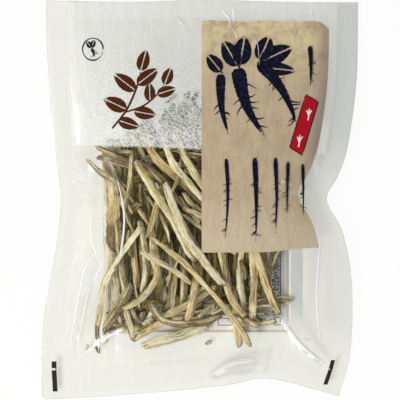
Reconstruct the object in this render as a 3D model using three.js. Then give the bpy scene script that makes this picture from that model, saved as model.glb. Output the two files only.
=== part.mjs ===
// A sealed pouch of dried burdock root: strips cut from the root, dried and packed loose between two
// sheets of clear film that are heat-sealed all round, with a paper label on the back.
// The pouch lies on its back. Millimetres, +X to its right, +Y to its top edge, +Z up; the origin is
// the middle of its footprint, on the surface that it lies on.
import * as THREE from "three";

// ---------- driving dimensions ----------
const FILM = 0.15; // film thickness
const GAP = 0.3; // clearance kept between the sheets, the label and the strips
const CLEAR = 0.2; // clearance kept between strips
const LABEL = { width: 94, height: 98, thick: 0.15, x: -2, y: -18 }; // on the back

// The pouch outline, corner to corner. The sides draw in where the pouch is fullest.
const OUTLINE = {
  left: [[-80, -101], [-79, -62], [-72.5, -24], [-70.2, 2], [-73.5, 29], [-77, 70], [-78, 101]],
  right: [
    [70, -99.5], [75.8, -78], [76.8, -44], [72.2, -17], [64, 0], [69.5, 12], [74.5, 27], [79, 60],
    [80, 100],
  ],
  bottom: [[-80, -101], [-34, -98], [12, -93.5], [32, -90], [50, -93.5], [70, -99.5]],
  top: [[-78, 101], [-36, 100], [4, 101], [44, 100], [80, 100]],
};
// Width of the sealed bands, as shares of the sheet: left and right, bottom, top.
const SEAL = { side: 0.0625, bottom: 0.078, top: 0.045 };
const SEAL_HEIGHT = { corner: 1.5, middle: 6 }; // how high the sealed edge stands off the surface
const BACK_FLAT = LABEL.thick + GAP; // underside of the back film, over the label
const BACK_CURL = 0.08; // share of the sheet over which the back film lifts to the seal
const PUFF = 0.06; // mm that trapped air lifts the front film per step of the relaxing grid
const FRONT_CELLS = [24, 32];
const FILM_SAMPLES = [0, 0.25, 0.5, 0.75, 1]; // where in a cell the film is held off the strips
const FILM_START = 40; // height from which the front film is let down
const FILM_ROUNDS = 900;
const BACK_CELLS = [14, 18];

// The strips: how thick they are and how they bend where they cross.
const STATION = 6.5; // mm between the sections of a strip
const THICK = { low: 1.5, high: 2.3 };
const LEAN = 0.25; // mm that a section's edges may lean up or down
const END_SHARE = 0.72; // how much narrower than its middle a strip ends
const SAG = { low: 0.5, high: 0.8 }; // mm that a strip falls below its neighbours' line per section
const DROOP = 2.5; // mm that a free end falls below its own line
const STRIP_ROUNDS = 200;
// A cut strip's section, in half-widths and half-thicknesses: flat below, crowned above.
const SECTION = [[-1, -0.2], [-0.68, -1], [0.68, -1], [1, -0.2], [0.6, 1], [-0.6, 1]];

// The height map that the strips are laid down on.
const CELL = 1;
const MARGIN = 0.7 * CELL; // how far past its edge a strip's section counts
const REACH = 110; // half the map's width
const FINE = 1 / 16; // sampling step inside a cell of the back sheet

// ---------- repeatable random numbers ----------
function seeded(seed) {
  let state = seed;
  return () => {
    state = (state * 1664525 + 1013904223) % 4294967296;
    return state / 4294967296;
  };
}
const random = seeded(20);
const between = (low, high) => low + (high - low) * random();

// ---------- the shape of the sheets ----------
const edges = Object.fromEntries(
  Object.entries(OUTLINE).map(([name, points]) => [
    name,
    new THREE.SplineCurve(points.map(([x, y]) => new THREE.Vector2(x, y))),
  ]),
);

// A point of the sheet, s from the left edge to the right and t from the bottom edge to the top.
function sheetPoint(s, t) {
  const mix = (a, b, share) => a.clone().lerp(b, share);
  const sides = mix(edges.left.getPointAt(t), edges.right.getPointAt(t), s);
  const ends = mix(edges.bottom.getPointAt(s), edges.top.getPointAt(s), t);
  const [bottomLeft, bottomRight] = [edges.left.getPointAt(0), edges.right.getPointAt(0)];
  const [topLeft, topRight] = [edges.left.getPointAt(1), edges.right.getPointAt(1)];
  const corners = mix(mix(bottomLeft, bottomRight, s), mix(topLeft, topRight, s), t);
  return sides.add(ends).sub(corners);
}

const smooth = (share) => THREE.MathUtils.smoothstep(share, 0, 1);

// How far inside the sealed bands a point is: 0 on a band, rising to 1 over the given share.
function inside(s, t, over) {
  const room = Math.min(s - SEAL.side, 1 - SEAL.side - s, t - SEAL.bottom, 1 - SEAL.top - t);
  return smooth(Math.max(0, room) / over);
}

// Height of the sealed edge: low at the corners, standing off the surface in the middle of each side.
function sealHeight(s, t) {
  const middle = 1 - (1 - Math.sin(Math.PI * s)) * (1 - Math.sin(Math.PI * t));
  return THREE.MathUtils.lerp(SEAL_HEIGHT.corner, SEAL_HEIGHT.middle, middle);
}

// Grid lines across the sheet: the two bands' edges, and even cells between them.
function gridLines(cells, low, high) {
  const inner = Array.from({ length: cells - 1 }, (_, i) => low + ((1 - low - high) * i) / (cells - 2));
  return [0, ...inner, 1];
}

const backColumns = gridLines(BACK_CELLS[0], SEAL.side, SEAL.side);
const backRows = gridLines(BACK_CELLS[1], SEAL.bottom, SEAL.top);

// Underside of the back sheet: flat under the strips, lifting to the sealed edge.
function backHeight(s, t) {
  return THREE.MathUtils.lerp(sealHeight(s, t), BACK_FLAT, inside(s, t, BACK_CURL));
}

// ---------- the strips ----------
// kind: pale and tan are cut flesh, bark still has its skin. points: the route seen from above.
const PLACED = [
  // lower layer, left
  { kind: "bark", width: 7, points: [[-47.5, 26], [-44, 0], [-44.5, -26.5]] },
  { kind: "bark", width: 4.2, points: [[-41.5, -10], [-38.5, -42], [-36, -52]] },
  { kind: "tan", width: 3.6, points: [[-34, -14], [-32.6, -34], [-30.6, -45]] },
  { kind: "pale", width: 4, points: [[-30.5, -10], [-27.3, -36], [-29.8, -47]] },
  { kind: "tan", width: 4.6, points: [[-24, -16], [-21.7, -36], [-17.5, -51]] },
  { kind: "bark", width: 5, points: [[-16, -20], [-13.5, -38], [-15, -57]] },
  { kind: "bark", width: 4.6, points: [[-8.5, -14], [-8, -36], [-10, -56]] },
  // lower layer, right, running up behind the printed panel
  { kind: "tan", width: 4, points: [[12, 12], [24, -14], [36, -37.5]] },
  { kind: "bark", width: 5, points: [[22, -54], [34, -52], [48, -50]] },
  { kind: "pale", width: 4.6, points: [[16, -43], [18.5, -56], [20, -74.5]] },
  { kind: "pale", width: 3.8, points: [[24, 16], [21, -26], [20.2, -43], [23, -56.5]] },
  { kind: "tan", width: 4, points: [[31, 22], [26.5, -22], [27.3, -45], [25.8, -60.5]] },
  { kind: "tan", width: 5, points: [[18, 2], [30, -31], [35.5, -47], [40, -57.5]] },
  { kind: "bark", width: 4, points: [[14, -59.5], [22, -61], [29.5, -63.8]] },
  // along the bottom
  { kind: "bark", width: 4, points: [[-47, -66], [-33, -65], [-18, -60]] },
  { kind: "pale", width: 5.6, points: [[-30, -74], [-15, -70], [4, -63.3]] },
  { kind: "tan", width: 4, points: [[-34, -71], [-25, -65], [-12, -57]] },
  { kind: "bark", width: 4, points: [[-25.5, -49], [-22, -58], [-14, -62], [0, -61.5], [11, -58.5]] },
  { kind: "pale", width: 4, points: [[-38.5, -53], [-36, -61], [-33.3, -71]] },
  { kind: "tan", width: 5, points: [[-49.5, -67.5], [-44, -59], [-34, -42]] },
  { kind: "tan", width: 4, points: [[-18.5, -58.5], [-6, -52.5], [9, -43]] },
  { kind: "pale", width: 3.4, points: [[-1, -59], [6.5, -53.5], [11, -52.5], [15.5, -57.5]] },
  { kind: "pale", width: 3.4, points: [[-21, -29], [-23, -42], [-30, -50], [-39.5, -54.5]] },
  { kind: "tan", width: 4.6, points: [[1.5, -28], [-3, -47], [-6, -61]] },
  // upper layer
  { kind: "tan", width: 3.6, points: [[-53, 26.5], [-44, 23], [-20, 12]] },
  { kind: "bark", width: 3.6, points: [[-52, 21.5], [-43, 19], [-22, 15]] },
  { kind: "bark", width: 4, points: [[-31.5, 19.5], [-22, 12.5], [-5, -7]] },
  { kind: "tan", width: 5.2, points: [[-33, 39], [-20.5, 20], [-11, 11.5], [9, -8]] },
  { kind: "pale", width: 4, points: [[-20.5, 40], [-14.3, 19.5], [-7.5, 11], [13, -12]] },
  { kind: "tan", width: 4.2, points: [[-14.5, 37], [-5.6, 18], [11, -7]] },
  { kind: "pale", width: 3, points: [[-8.5, 4], [-4.5, -2], [15.5, -15]] },
  { kind: "pale", width: 3.4, points: [[-9, -4], [-4, -6.2], [18, -17.5]] },
  // top layer
  { kind: "pale", width: 3, points: [[-36.5, 3], [-26.3, -11], [-22.5, -17]] },
  { kind: "tan", width: 3.6, points: [[-19.5, 7], [-24, -10.5], [-27.5, -19.5]] },
  { kind: "bark", width: 2.8, points: [[-57, 20.5], [-49, 13], [-40.5, 7], [-34, -7]] },
  { kind: "bark", width: 2.8, points: [[-34.2, 25], [-34.8, 13], [-36, 3.5], [-38.8, -5]] },
  { kind: "tan", width: 3, points: [[-30.5, -25.5], [-17.7, -32.5], [-4, -42.2]] },
  { kind: "tan", width: 4.4, points: [[8, -9], [10, -25], [15.7, -50], [22.5, -59]] },
  { kind: "pale", width: 4.2, points: [[-33, 20], [-21.2, 1.5], [-12.6, -12], [-2.5, -32]] },
  { kind: "pale", width: 4.8, points: [[-18, 9], [-8.6, -15.7], [-0.5, -28], [12, -43.5]] },
  { kind: "pale", width: 3.8, points: [[-29, -12.5], [-40, -28.5], [-48, -43], [-50, -52], [-52, -73]] },
  { kind: "tan", width: 3.2, points: [[-25, -18], [-1.5, -37.5], [9, -50.5], [20, -63.5], [25.5, -74]] },
];

// The bed under them: wide strips, bark up, some lying along the pouch and some across it.
// Each is given by where its middle line crosses the row, and by where it ends.
const BED = {
  along: [
    [-43.5, -58, 22], [-33.5, -54, 33], [-23.5, -58, 44], [-13, -55, 52], [-3, -59, 56],
    [7.5, -52, 58], [17.5, -57, 54], [27.5, -55, 50], [37, -24, 46],
  ],
  across: [[10, -36, 40], [20, -28, 44], [31, -24, 42], [41.5, -18, 38]],
  width: [6.2, 7.6],
  turn: 2.2, // mm that an end may lie off the middle line
  bow: 2.4,
};
function bed() {
  const lay = (row, toPoint) =>
    row.map(([middle, low, high]) => {
      const turn = between(-BED.turn, BED.turn);
      const bow = between(-BED.bow, BED.bow);
      const points = [
        toPoint(low, middle - turn),
        toPoint((low + high) / 2, middle + bow),
        toPoint(high, middle + turn),
      ];
      return { kind: "bark", width: between(...BED.width), points };
    });
  return [
    ...lay(BED.along, (place, middle) => [middle, place]),
    ...lay(BED.across, (place, middle) => [place, middle]),
  ];
}

// Height of everything laid down so far, on a grid of square cells.
const CELLS = (2 * REACH) / CELL;
const pile = new Float64Array(CELLS * CELLS);
const cellAt = (value) => Math.floor((value + REACH) / CELL);
const cellOf = (point) => cellAt(point.y) * CELLS + cellAt(point.x);

// The pile starts as the top of the back sheet, which is straight between its grid lines.
function layBackSheet() {
  const { lerp } = THREE.MathUtils;
  for (let j = 0; j + 1 < backRows.length; j++)
    for (let i = 0; i + 1 < backColumns.length; i++) {
      const corner = (right, up) => backHeight(backColumns[i + right], backRows[j + up]);
      for (let u = 0; u <= 1; u += FINE)
        for (let v = 0; v <= 1; v += FINE) {
          const s = lerp(backColumns[i], backColumns[i + 1], u);
          const t = lerp(backRows[j], backRows[j + 1], v);
          const near = lerp(corner(0, 0), corner(1, 0), u);
          const far = lerp(corner(0, 1), corner(1, 1), u);
          const place = cellOf(sheetPoint(s, t));
          pile[place] = Math.max(pile[place], lerp(near, far, v) + FILM);
        }
    }
}
layBackSheet();

// The stations of a strip: where each section is, how it is turned, and how big it is.
function stationsOf(strip) {
  const curve = new THREE.CatmullRomCurve3(strip.points.map(([x, y]) => new THREE.Vector3(x, y, 0)));
  const count = Math.max(6, Math.round(curve.getLength() / STATION));
  const thick = between(THICK.low, THICK.high);
  const lean = between(-LEAN, LEAN) / (strip.width / 2);
  const turn = between(-LEAN, LEAN) / (strip.width / 2);
  return Array.from({ length: count + 1 }, (_, i) => {
    const share = i / count;
    const fullness = Math.sqrt(Math.sin(Math.PI * THREE.MathUtils.clamp(share, 0.04, 0.96)));
    const taper = THREE.MathUtils.lerp(END_SHARE, 1, fullness);
    const width = (strip.width / 2) * taper * (1 + between(-0.08, 0.08));
    const height = (thick / 2) * taper;
    const angle = lean + turn * share;
    const [c, s] = [Math.abs(Math.cos(angle)), Math.abs(Math.sin(angle))];
    const side = new THREE.Vector3(0, 0, 1).cross(curve.getTangentAt(share)).normalize();
    const across = width * c + height * s;
    const up = width * s + height * c;
    return { at: curve.getPointAt(share), side, angle, width, height, across, up };
  });
}

// The ground under a strip: for each place along it that matters, how high its middle has to be.
function groundUnder(stations) {
  const ground = [];
  for (let i = 0; i + 1 < stations.length; i++) {
    const [from, to] = [stations[i], stations[i + 1]];
    const steps = 2 * Math.ceil(from.at.distanceTo(to.at) / CELL);
    for (let k = 0; k <= steps; k++) {
      const share = k / steps;
      const middle = from.at.clone().lerp(to.at, share);
      const side = from.side.clone().lerp(to.side, share);
      const across = THREE.MathUtils.lerp(from.across, to.across, share);
      const up = THREE.MathUtils.lerp(from.up, to.up, share);
      const cells = [];
      const reach = across + MARGIN;
      for (let v = -reach; v <= reach; v += CELL / 2) {
        const place = middle.clone().addScaledVector(side, v);
        // The section is full height over most of its width and rounds off at its edges.
        const out = Math.max(0, Math.abs(v) - MARGIN) / across;
        const rise = up * Math.min(1, 1.45 * Math.sqrt(Math.max(0, 1 - out * out)));
        cells.push({ cell: cellOf(place), rise });
      }
      const need = Math.max(...cells.map(({ cell, rise }) => pile[cell] + rise)) + CLEAR;
      ground.push({ need, cells, parts: [[i, 1 - share], [i + 1, share]] });
    }
  }
  return ground;
}

// Lets heights z down from above, each as far as its rest height and the ground allow. A piece of
// ground is a height that has to be kept by a mix of z's members: parts holds [index, share] pairs.
function letDown(z, restHeight, ground, rounds) {
  const touching = Array.from(z, () => []);
  for (const { need, parts } of ground)
    for (const [index, share] of parts) {
      const others = parts.filter(([other]) => other !== index);
      if (share > 0.1) touching[index].push({ need, share, others });
    }
  for (let round = 0; round < rounds; round++)
    z.forEach((height, n) => {
      let lowest = restHeight(n);
      for (const { need, share, others } of touching[n]) {
        const held = others.reduce((sum, [other, part]) => sum + part * z[other], 0);
        lowest = Math.max(lowest, (need - held) / share);
      }
      z[n] = Math.min(height, lowest);
    });
}

// Lays a strip on the pile: it sags between what holds it up, and its ends droop.
function settle(stations) {
  const ground = groundUnder(stations);
  const last = stations.length - 1;
  const sag = between(SAG.low, SAG.high);
  const z = new Array(stations.length).fill(Math.max(...ground.map(({ need }) => need)));
  const restHeight = (n) => {
    if (n === 0) return 2 * z[1] - z[2] - DROOP;
    if (n === last) return 2 * z[last - 1] - z[last - 2] - DROOP;
    return (z[n - 1] + z[n + 1]) / 2 - sag;
  };
  letDown(z, restHeight, ground, STRIP_ROUNDS);
  stations.forEach((section, n) => {
    section.at.z = z[n];
  });
  for (const { parts, cells } of ground) {
    const middle = parts.reduce((sum, [n, share]) => sum + share * z[n], 0);
    for (const { cell, rise } of cells) pile[cell] = Math.max(pile[cell], middle + rise);
  }
}

// A closed solid through a row of rings, each a list of points in the same turning sense.
function loft(rings) {
  const size = rings[0].length;
  const positions = rings.flatMap((ring) => ring.flatMap((point) => point.toArray()));
  const index = [];
  for (let r = 0; r + 1 < rings.length; r++)
    for (let k = 0; k < size; k++) {
      const [a, b] = [r * size + k, r * size + ((k + 1) % size)];
      index.push(a, b, b + size, a, b + size, a + size);
    }
  const last = (rings.length - 1) * size;
  for (let k = 1; k + 1 < size; k++) {
    index.push(0, k + 1, k);
    index.push(last, last + k, last + k + 1);
  }
  const geometry = new THREE.BufferGeometry();
  geometry.setAttribute("position", new THREE.Float32BufferAttribute(positions, 3));
  geometry.setIndex(index);
  geometry.computeVertexNormals();
  return geometry;
}

// One strip as a solid: its section swept from station to station, kept upright.
function stripGeometry(strip) {
  const stations = stationsOf(strip);
  settle(stations);
  const rings = stations.map((section) => {
    const [c, s] = [Math.cos(section.angle), Math.sin(section.angle)];
    return SECTION.map(([u, v]) => {
      const [x, y] = [u * section.width, v * section.height];
      const point = section.at.clone().addScaledVector(section.side, c * x - s * y);
      point.z += s * x + c * y;
      return point;
    });
  });
  return loft(rings);
}

// A sheet of film over a grid, with height(i, j) giving its underside.
function filmGeometry(columns, rows, height) {
  const across = columns.length;
  const points = (lift) =>
    rows.flatMap((t, j) =>
      columns.flatMap((s, i) => [...sheetPoint(s, t).toArray(), height(i, j) + lift]),
    );
  const positions = [...points(0), ...points(FILM)];
  const top = across * rows.length;
  const index = [];
  const quad = (a, b, c, d) => index.push(a, b, c, a, c, d);
  for (let j = 0; j + 1 < rows.length; j++)
    for (let i = 0; i + 1 < across; i++) {
      const a = j * across + i;
      quad(top + a, top + a + 1, top + a + across + 1, top + a + across);
      quad(a, a + across, a + across + 1, a + 1);
    }
  const rim = (a, b) => quad(a, b, top + b, top + a);
  const lastRow = (rows.length - 1) * across;
  for (let i = 0; i + 1 < across; i++) {
    rim(i, i + 1);
    rim(lastRow + i + 1, lastRow + i);
  }
  for (let j = 0; j + 1 < rows.length; j++) {
    rim((j + 1) * across, j * across);
    rim(j * across + across - 1, (j + 1) * across + across - 1);
  }
  const geometry = new THREE.BufferGeometry();
  geometry.setAttribute("position", new THREE.Float32BufferAttribute(positions, 3));
  geometry.setIndex(index);
  geometry.computeVertexNormals();
  return geometry;
}

function backFilm() {
  return filmGeometry(backColumns, backRows, (i, j) => backHeight(backColumns[i], backRows[j]));
}

// The front sheet is stretched from seal to seal over the strips, with a little air under it: each
// point sits between its neighbours, lifted by the air, and clear of what lies under it.
function frontFilm() {
  const columns = gridLines(FRONT_CELLS[0], SEAL.side, SEAL.side);
  const rows = gridLines(FRONT_CELLS[1], SEAL.bottom, SEAL.top);
  const across = columns.length;
  const ground = [];
  for (let j = 1; j + 2 < rows.length; j++)
    for (let i = 1; i + 2 < across; i++)
      for (const u of FILM_SAMPLES)
        for (const v of FILM_SAMPLES) {
          const s = THREE.MathUtils.lerp(columns[i], columns[i + 1], u);
          const t = THREE.MathUtils.lerp(rows[j], rows[j + 1], v);
          const near = j * across + i;
          const far = near + across + 1;
          // The cell's two triangles share the diagonal from its near corner to its far one.
          const third = u > v ? near + 1 : far - 1;
          const shares = [[near, 1 - Math.max(u, v)], [third, Math.abs(u - v)], [far, Math.min(u, v)]];
          const parts = shares.filter(([, share]) => share > 0);
          ground.push({ need: highestAround(sheetPoint(s, t)) + GAP, parts });
        }
  const isSealed = (n) => {
    const [i, j] = [n % across, Math.floor(n / across)];
    return i < 2 || j < 2 || i > across - 3 || j > rows.length - 3;
  };
  const z = rows.flatMap((t, j) =>
    columns.map((s, i) => (isSealed(j * across + i) ? sealHeight(s, t) + FILM + GAP : FILM_START)),
  );
  const restHeight = (n) => {
    if (isSealed(n)) return z[n];
    return (z[n - 1] + z[n + 1] + z[n - across] + z[n + across]) / 4 + PUFF;
  };
  letDown(z, restHeight, ground, FILM_ROUNDS);
  return filmGeometry(columns, rows, (i, j) => z[j * across + i]);
}

// The top of the pile in the cell of a point and the cells around it.
function highestAround(point) {
  const [row, column] = [cellAt(point.y), cellAt(point.x)];
  let highest = 0;
  for (let y = row - 1; y <= row + 1; y++)
    for (let x = column - 1; x <= column + 1; x++) highest = Math.max(highest, pile[y * CELLS + x]);
  return highest;
}

// ---------- the assembly ----------
function material(color, roughness) {
  return new THREE.MeshStandardMaterial({ color, roughness });
}

const MATERIALS = {
  film: material(0xe6e7e0, 0.2),
  paper: material(0xf0efe9, 0.7),
  pale: material(0xd6c794, 0.85),
  tan: material(0xb39c6c, 0.85),
  bark: material(0x6e6046, 0.9),
};
MATERIALS.film.transparent = true;
MATERIALS.film.opacity = 0.35;

const pouch = new THREE.Group();
function add(name, geometry, look) {
  const mesh = new THREE.Mesh(geometry, look);
  mesh.name = name;
  pouch.add(mesh);
  return mesh;
}

const strips = [...bed(), ...PLACED];
strips.forEach((strip, i) => {
  const number = String(i + 1).padStart(2, "0");
  add(`${strip.kind}_strip_${number}`, stripGeometry(strip), MATERIALS[strip.kind]);
});
add("back_film", backFilm(), MATERIALS.film);
add("front_film", frontFilm(), MATERIALS.film);
const labelSheet = new THREE.BoxGeometry(LABEL.width, LABEL.height, LABEL.thick);
add("back_label", labelSheet, MATERIALS.paper).position.set(LABEL.x, LABEL.y, LABEL.thick / 2);

export default pouch;
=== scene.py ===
"""A sealed pouch of dried burdock root strips, lying on its back and seen from straight above."""

import bpy
import numpy as np
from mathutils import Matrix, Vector
from mathutils.bvhtree import BVHTree


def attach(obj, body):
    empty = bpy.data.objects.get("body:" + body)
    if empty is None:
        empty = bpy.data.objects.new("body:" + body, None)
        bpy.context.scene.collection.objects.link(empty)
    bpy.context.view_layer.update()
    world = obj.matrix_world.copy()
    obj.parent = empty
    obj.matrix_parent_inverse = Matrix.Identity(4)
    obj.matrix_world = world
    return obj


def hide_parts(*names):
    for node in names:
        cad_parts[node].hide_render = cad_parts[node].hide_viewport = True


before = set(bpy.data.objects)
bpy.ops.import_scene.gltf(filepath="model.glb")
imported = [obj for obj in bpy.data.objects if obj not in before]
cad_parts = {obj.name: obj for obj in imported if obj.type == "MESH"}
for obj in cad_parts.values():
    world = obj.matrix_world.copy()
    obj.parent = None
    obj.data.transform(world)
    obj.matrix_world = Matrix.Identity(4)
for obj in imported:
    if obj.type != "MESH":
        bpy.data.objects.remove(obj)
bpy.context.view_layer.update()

MM = 0.001
SEEDS = {"strips": 1000, "slivers": 77, "crumbs": 31, "prints": 5, "folds": 14}

# The pouch's outline in millimetres, as in the CAD model: corner to corner along each edge.
OUTLINE = {
    "left": [(-80, -101), (-79, -62), (-72.5, -24), (-70.2, 2), (-73.5, 29), (-77, 70), (-78, 101)],
    "right": [
        (70, -99.5), (75.8, -78), (76.8, -44), (72.2, -17), (64, 0), (69.5, 12), (74.5, 27), (79, 60),
        (80, 100),
    ],
    "bottom": [(-80, -101), (-34, -98), (12, -93.5), (32, -90), (50, -93.5), (70, -99.5)],
    "top": [(-78, 101), (-36, 100), (4, 101), (44, 100), (80, 100)],
}
HALF_WIDTH, HALF_HEIGHT = 80.0, 101.0
# The widths of the sealed bands, as shares of the sheet.
SEAL_SIDE, SEAL_BOTTOM, SEAL_TOP = 0.0625, 0.078, 0.045


# ---------- small helpers ----------
def smoothstep(low, high, value):
    """0 below low, 1 above high, and smooth between; the other way round if low is the higher."""
    share = np.clip((value - low) / (high - low), 0.0, 1.0)
    return share * share * (3.0 - 2.0 * share)


def spline(points, count=400, dimensions=2):
    """A smooth curve through rows of values, evenly spaced by the length of its first dimensions."""
    points = np.asarray(points, float)
    padded = np.vstack([2 * points[0] - points[1], points, 2 * points[-1] - points[-2]])
    steps = np.linspace(0, len(points) - 1, 40 * len(points))
    index = np.minimum(steps.astype(int), len(points) - 2)
    t = (steps - index)[:, None]
    a, b, c, d = (padded[index + k] for k in range(4))
    curve = 0.5 * (2 * b + (c - a) * t + (2 * a - 5 * b + 4 * c - d) * t**2 + (3 * b - a - 3 * c + d) * t**3)
    steps = np.linalg.norm(np.diff(curve[:, :dimensions], axis=0), axis=1)
    length = np.concatenate([[0], np.cumsum(steps)])
    even = np.linspace(0, length[-1], count)
    return np.stack([np.interp(even, length, curve[:, k]) for k in range(points.shape[1])], axis=1)


def wave(rng, along, wavelength):
    """Smooth noise along a line, between about -1 and 1."""
    total = np.zeros_like(along)
    for ratio in (1.0, 0.62, 0.37):
        total += ratio * np.sin(2 * np.pi * along / (wavelength * ratio) + rng.uniform(0, 2 * np.pi))
    return total / 1.6


def length_of(line, dimensions=3):
    """The length of a line of points, by its first dimensions."""
    steps = np.diff(np.asarray(line, float)[:, :dimensions], axis=0)
    return np.linalg.norm(steps, axis=1).sum()


def unit(vectors):
    """Rows of vectors, each brought to length 1."""
    return vectors / np.linalg.norm(vectors, axis=1, keepdims=True)


def sideways(line):
    """The plan direction across a line, to its left, at each of its points."""
    way = unit(np.gradient(line[:, :2], axis=0))
    return np.stack([-way[:, 1], way[:, 0]], axis=1)


def mesh_object(name, points, faces, shade):
    """A smooth mesh object from millimetre coordinates; shade is values per point, for the shaders."""
    mesh = bpy.data.meshes.new(name)
    mesh.from_pydata((np.asarray(points) * MM).tolist(), [], [list(face) for face in faces])
    for key, values in shade.items():
        mesh.attributes.new(key, "FLOAT", "POINT").data.foreach_set("value", np.asarray(values, float))
    mesh.polygons.foreach_set("use_smooth", [True] * len(mesh.polygons))
    piece = bpy.data.objects.new(name, mesh)
    bpy.context.scene.collection.objects.link(piece)
    return piece


def joined(surfaces):
    """One set of points, faces and shader values from several."""
    points, faces, shade = [], [], {}
    for surface_points, surface_faces, surface_shade in surfaces:
        start = sum(len(part) for part in points)
        points.append(surface_points)
        faces += [[start + corner for corner in face] for face in surface_faces]
        for key, values in surface_shade.items():
            shade.setdefault(key, []).append(values)
    return np.concatenate(points), faces, {key: np.concatenate(values) for key, values in shade.items()}


def joined_piece(name, surfaces, material):
    """One piece of several surfaces, which rides on the pouch."""
    piece = mesh_object(name, *joined(surfaces))
    piece.data.materials.append(material)
    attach(piece, "root")
    return piece


def lifted(plan, height):
    """The points of a grid, row by row, from their plan positions and heights."""
    return np.concatenate([plan, height[..., None]], axis=-1).reshape(-1, 3)


def grid_faces(rows, columns, closed=False):
    """Quads of a grid of points, row by row; closed joins the last column to the first."""
    wide = columns if closed else columns - 1
    r, c = np.meshgrid(np.arange(rows - 1), np.arange(wide), indexing="ij")
    after = (c + 1) % columns
    corners = [r * columns + c, r * columns + after, (r + 1) * columns + after, (r + 1) * columns + c]
    return np.stack(corners, axis=-1).reshape(-1, 4)


# ---------- the strips ----------
RING_CORNERS = 6  # of a CAD strip's cross-section


def node_triangles(name):
    """A CAD node's welded vertices in millimetres, and its triangles."""
    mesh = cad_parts[name].data
    flat = np.empty(3 * len(mesh.vertices))
    mesh.vertices.foreach_get("co", flat)
    vertices, index = np.unique(np.round(flat.reshape(-1, 3) / MM, 2), axis=0, return_inverse=True)
    mesh.calc_loop_triangles()
    corners = np.empty(3 * len(mesh.loop_triangles), int)
    mesh.loop_triangles.foreach_get("vertices", corners)
    return vertices, index.ravel()[corners].reshape(-1, 3)


def sections(name):
    """A strip's cross-sections in order along it: its CAD solid is a row of upright six-sided rings."""
    vertices, triangles = node_triangles(name)
    first, second, third = (vertices[triangles[:, corner]] for corner in range(3))
    normals = unit(np.cross(second - first, third - first))
    neighbours = [set() for _ in vertices]
    for triangle in triangles:
        for corner in triangle:
            neighbours[corner].update(triangle)
    steep = np.abs(normals[:, 2]) < 0.02
    upright, facing = triangles[steep], normals[steep]
    for triangle, normal in zip(upright, facing):
        same = upright[facing @ normal > 0.999]
        cap = set(same[(np.abs((vertices[same[:, 0]] - vertices[triangle[0]]) @ normal) < 0.05)].ravel())
        if len(cap) == RING_CORNERS:
            break
    rings, seen = [sorted(cap)], set(cap)
    while len(seen) < len(vertices):
        ring = set().union(*(neighbours[corner] for corner in rings[-1])) - seen
        rings.append(sorted(ring))
        seen |= ring
    return np.array([vertices[ring] for ring in rings])


def strip_path(name):
    """Rows of x, y, z, half width, half thickness and lean along a CAD strip."""
    rings = sections(name)
    centre = rings.mean(axis=1)
    side = sideways(centre)
    offset = rings - centre[:, None]
    across = np.einsum("rkd,rd->rk", offset[:, :, :2], side)
    up = offset[:, :, 2]
    lean = 0.5 * np.arctan2(2 * (across * up).sum(axis=1), (across**2 - up**2).sum(axis=1))
    c, s = np.cos(lean)[:, None], np.sin(lean)[:, None]
    half_width = np.abs(across * c + up * s).max(axis=1)
    half_thick = np.abs(up * c - across * s).max(axis=1)
    return np.column_stack([centre, half_width, half_thick, lean])


# How a kind of strip looks: mm between its rings, the points in a ring, how many facets it was cut
# with, how many of them keep their skin, and how deep its furrows are.
KINDS = {
    "pale": {"step": 0.8, "around": 30, "facets": (4, 6), "skins": (0, 2), "furrow": 0.13},
    "tan": {"step": 0.8, "around": 30, "facets": (4, 6), "skins": (0, 2), "furrow": 0.15},
    "bark": {"step": 0.8, "around": 28, "facets": (4, 6), "skins": (2, 3), "furrow": 0.13},
    "cream": {"step": 0.8, "around": 30, "facets": (4, 6), "skins": (0, 0), "furrow": 0.15},
    "deep": {"step": 1.2, "around": 18, "facets": (4, 6), "skins": (1, 3), "furrow": 0.16},
    "sliver": {"step": 1.0, "around": 18, "facets": (3, 5), "skins": (1, 2), "furrow": 0.14},
}
WORN = 16  # how sharp the corners between facets are
FURROW_COUNT = 4
SPLIT_STEPS = 40  # points along a strip while it is split
# The bed's strips are coloured as painted shade, in the deep kind's near-black colours.
BED_COUNT = 13  # the first strips are the bed's: wide ones, shown split if they aren't in SPECIAL
BARK_KINDS = ("bark", "deep")  # kinds whose skin may face up; the others keep it at their sides
# What the photographed strips show one by one: another look, how pale the flesh is, and a withered
# end, from one y in mm to another, with how much thinner it gets.
SPECIAL = {
    1: {"look": "cream"},
    14: {"look": "tan", "tone": 0.35, "dry": (14, -30, 0.0)},
    33: {"look": "bark", "tone": 0.3},
    41: {"tone": 0.4},
    42: {"tone": 0.45},
    44: {"tone": 0.6},
    52: {"tone": 0.3},
    53: {"tone": 0.75},
    54: {"tone": 0.8, "dry": (-44, -76, 0.1)},
    55: {"tone": 0.5},
}


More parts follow.
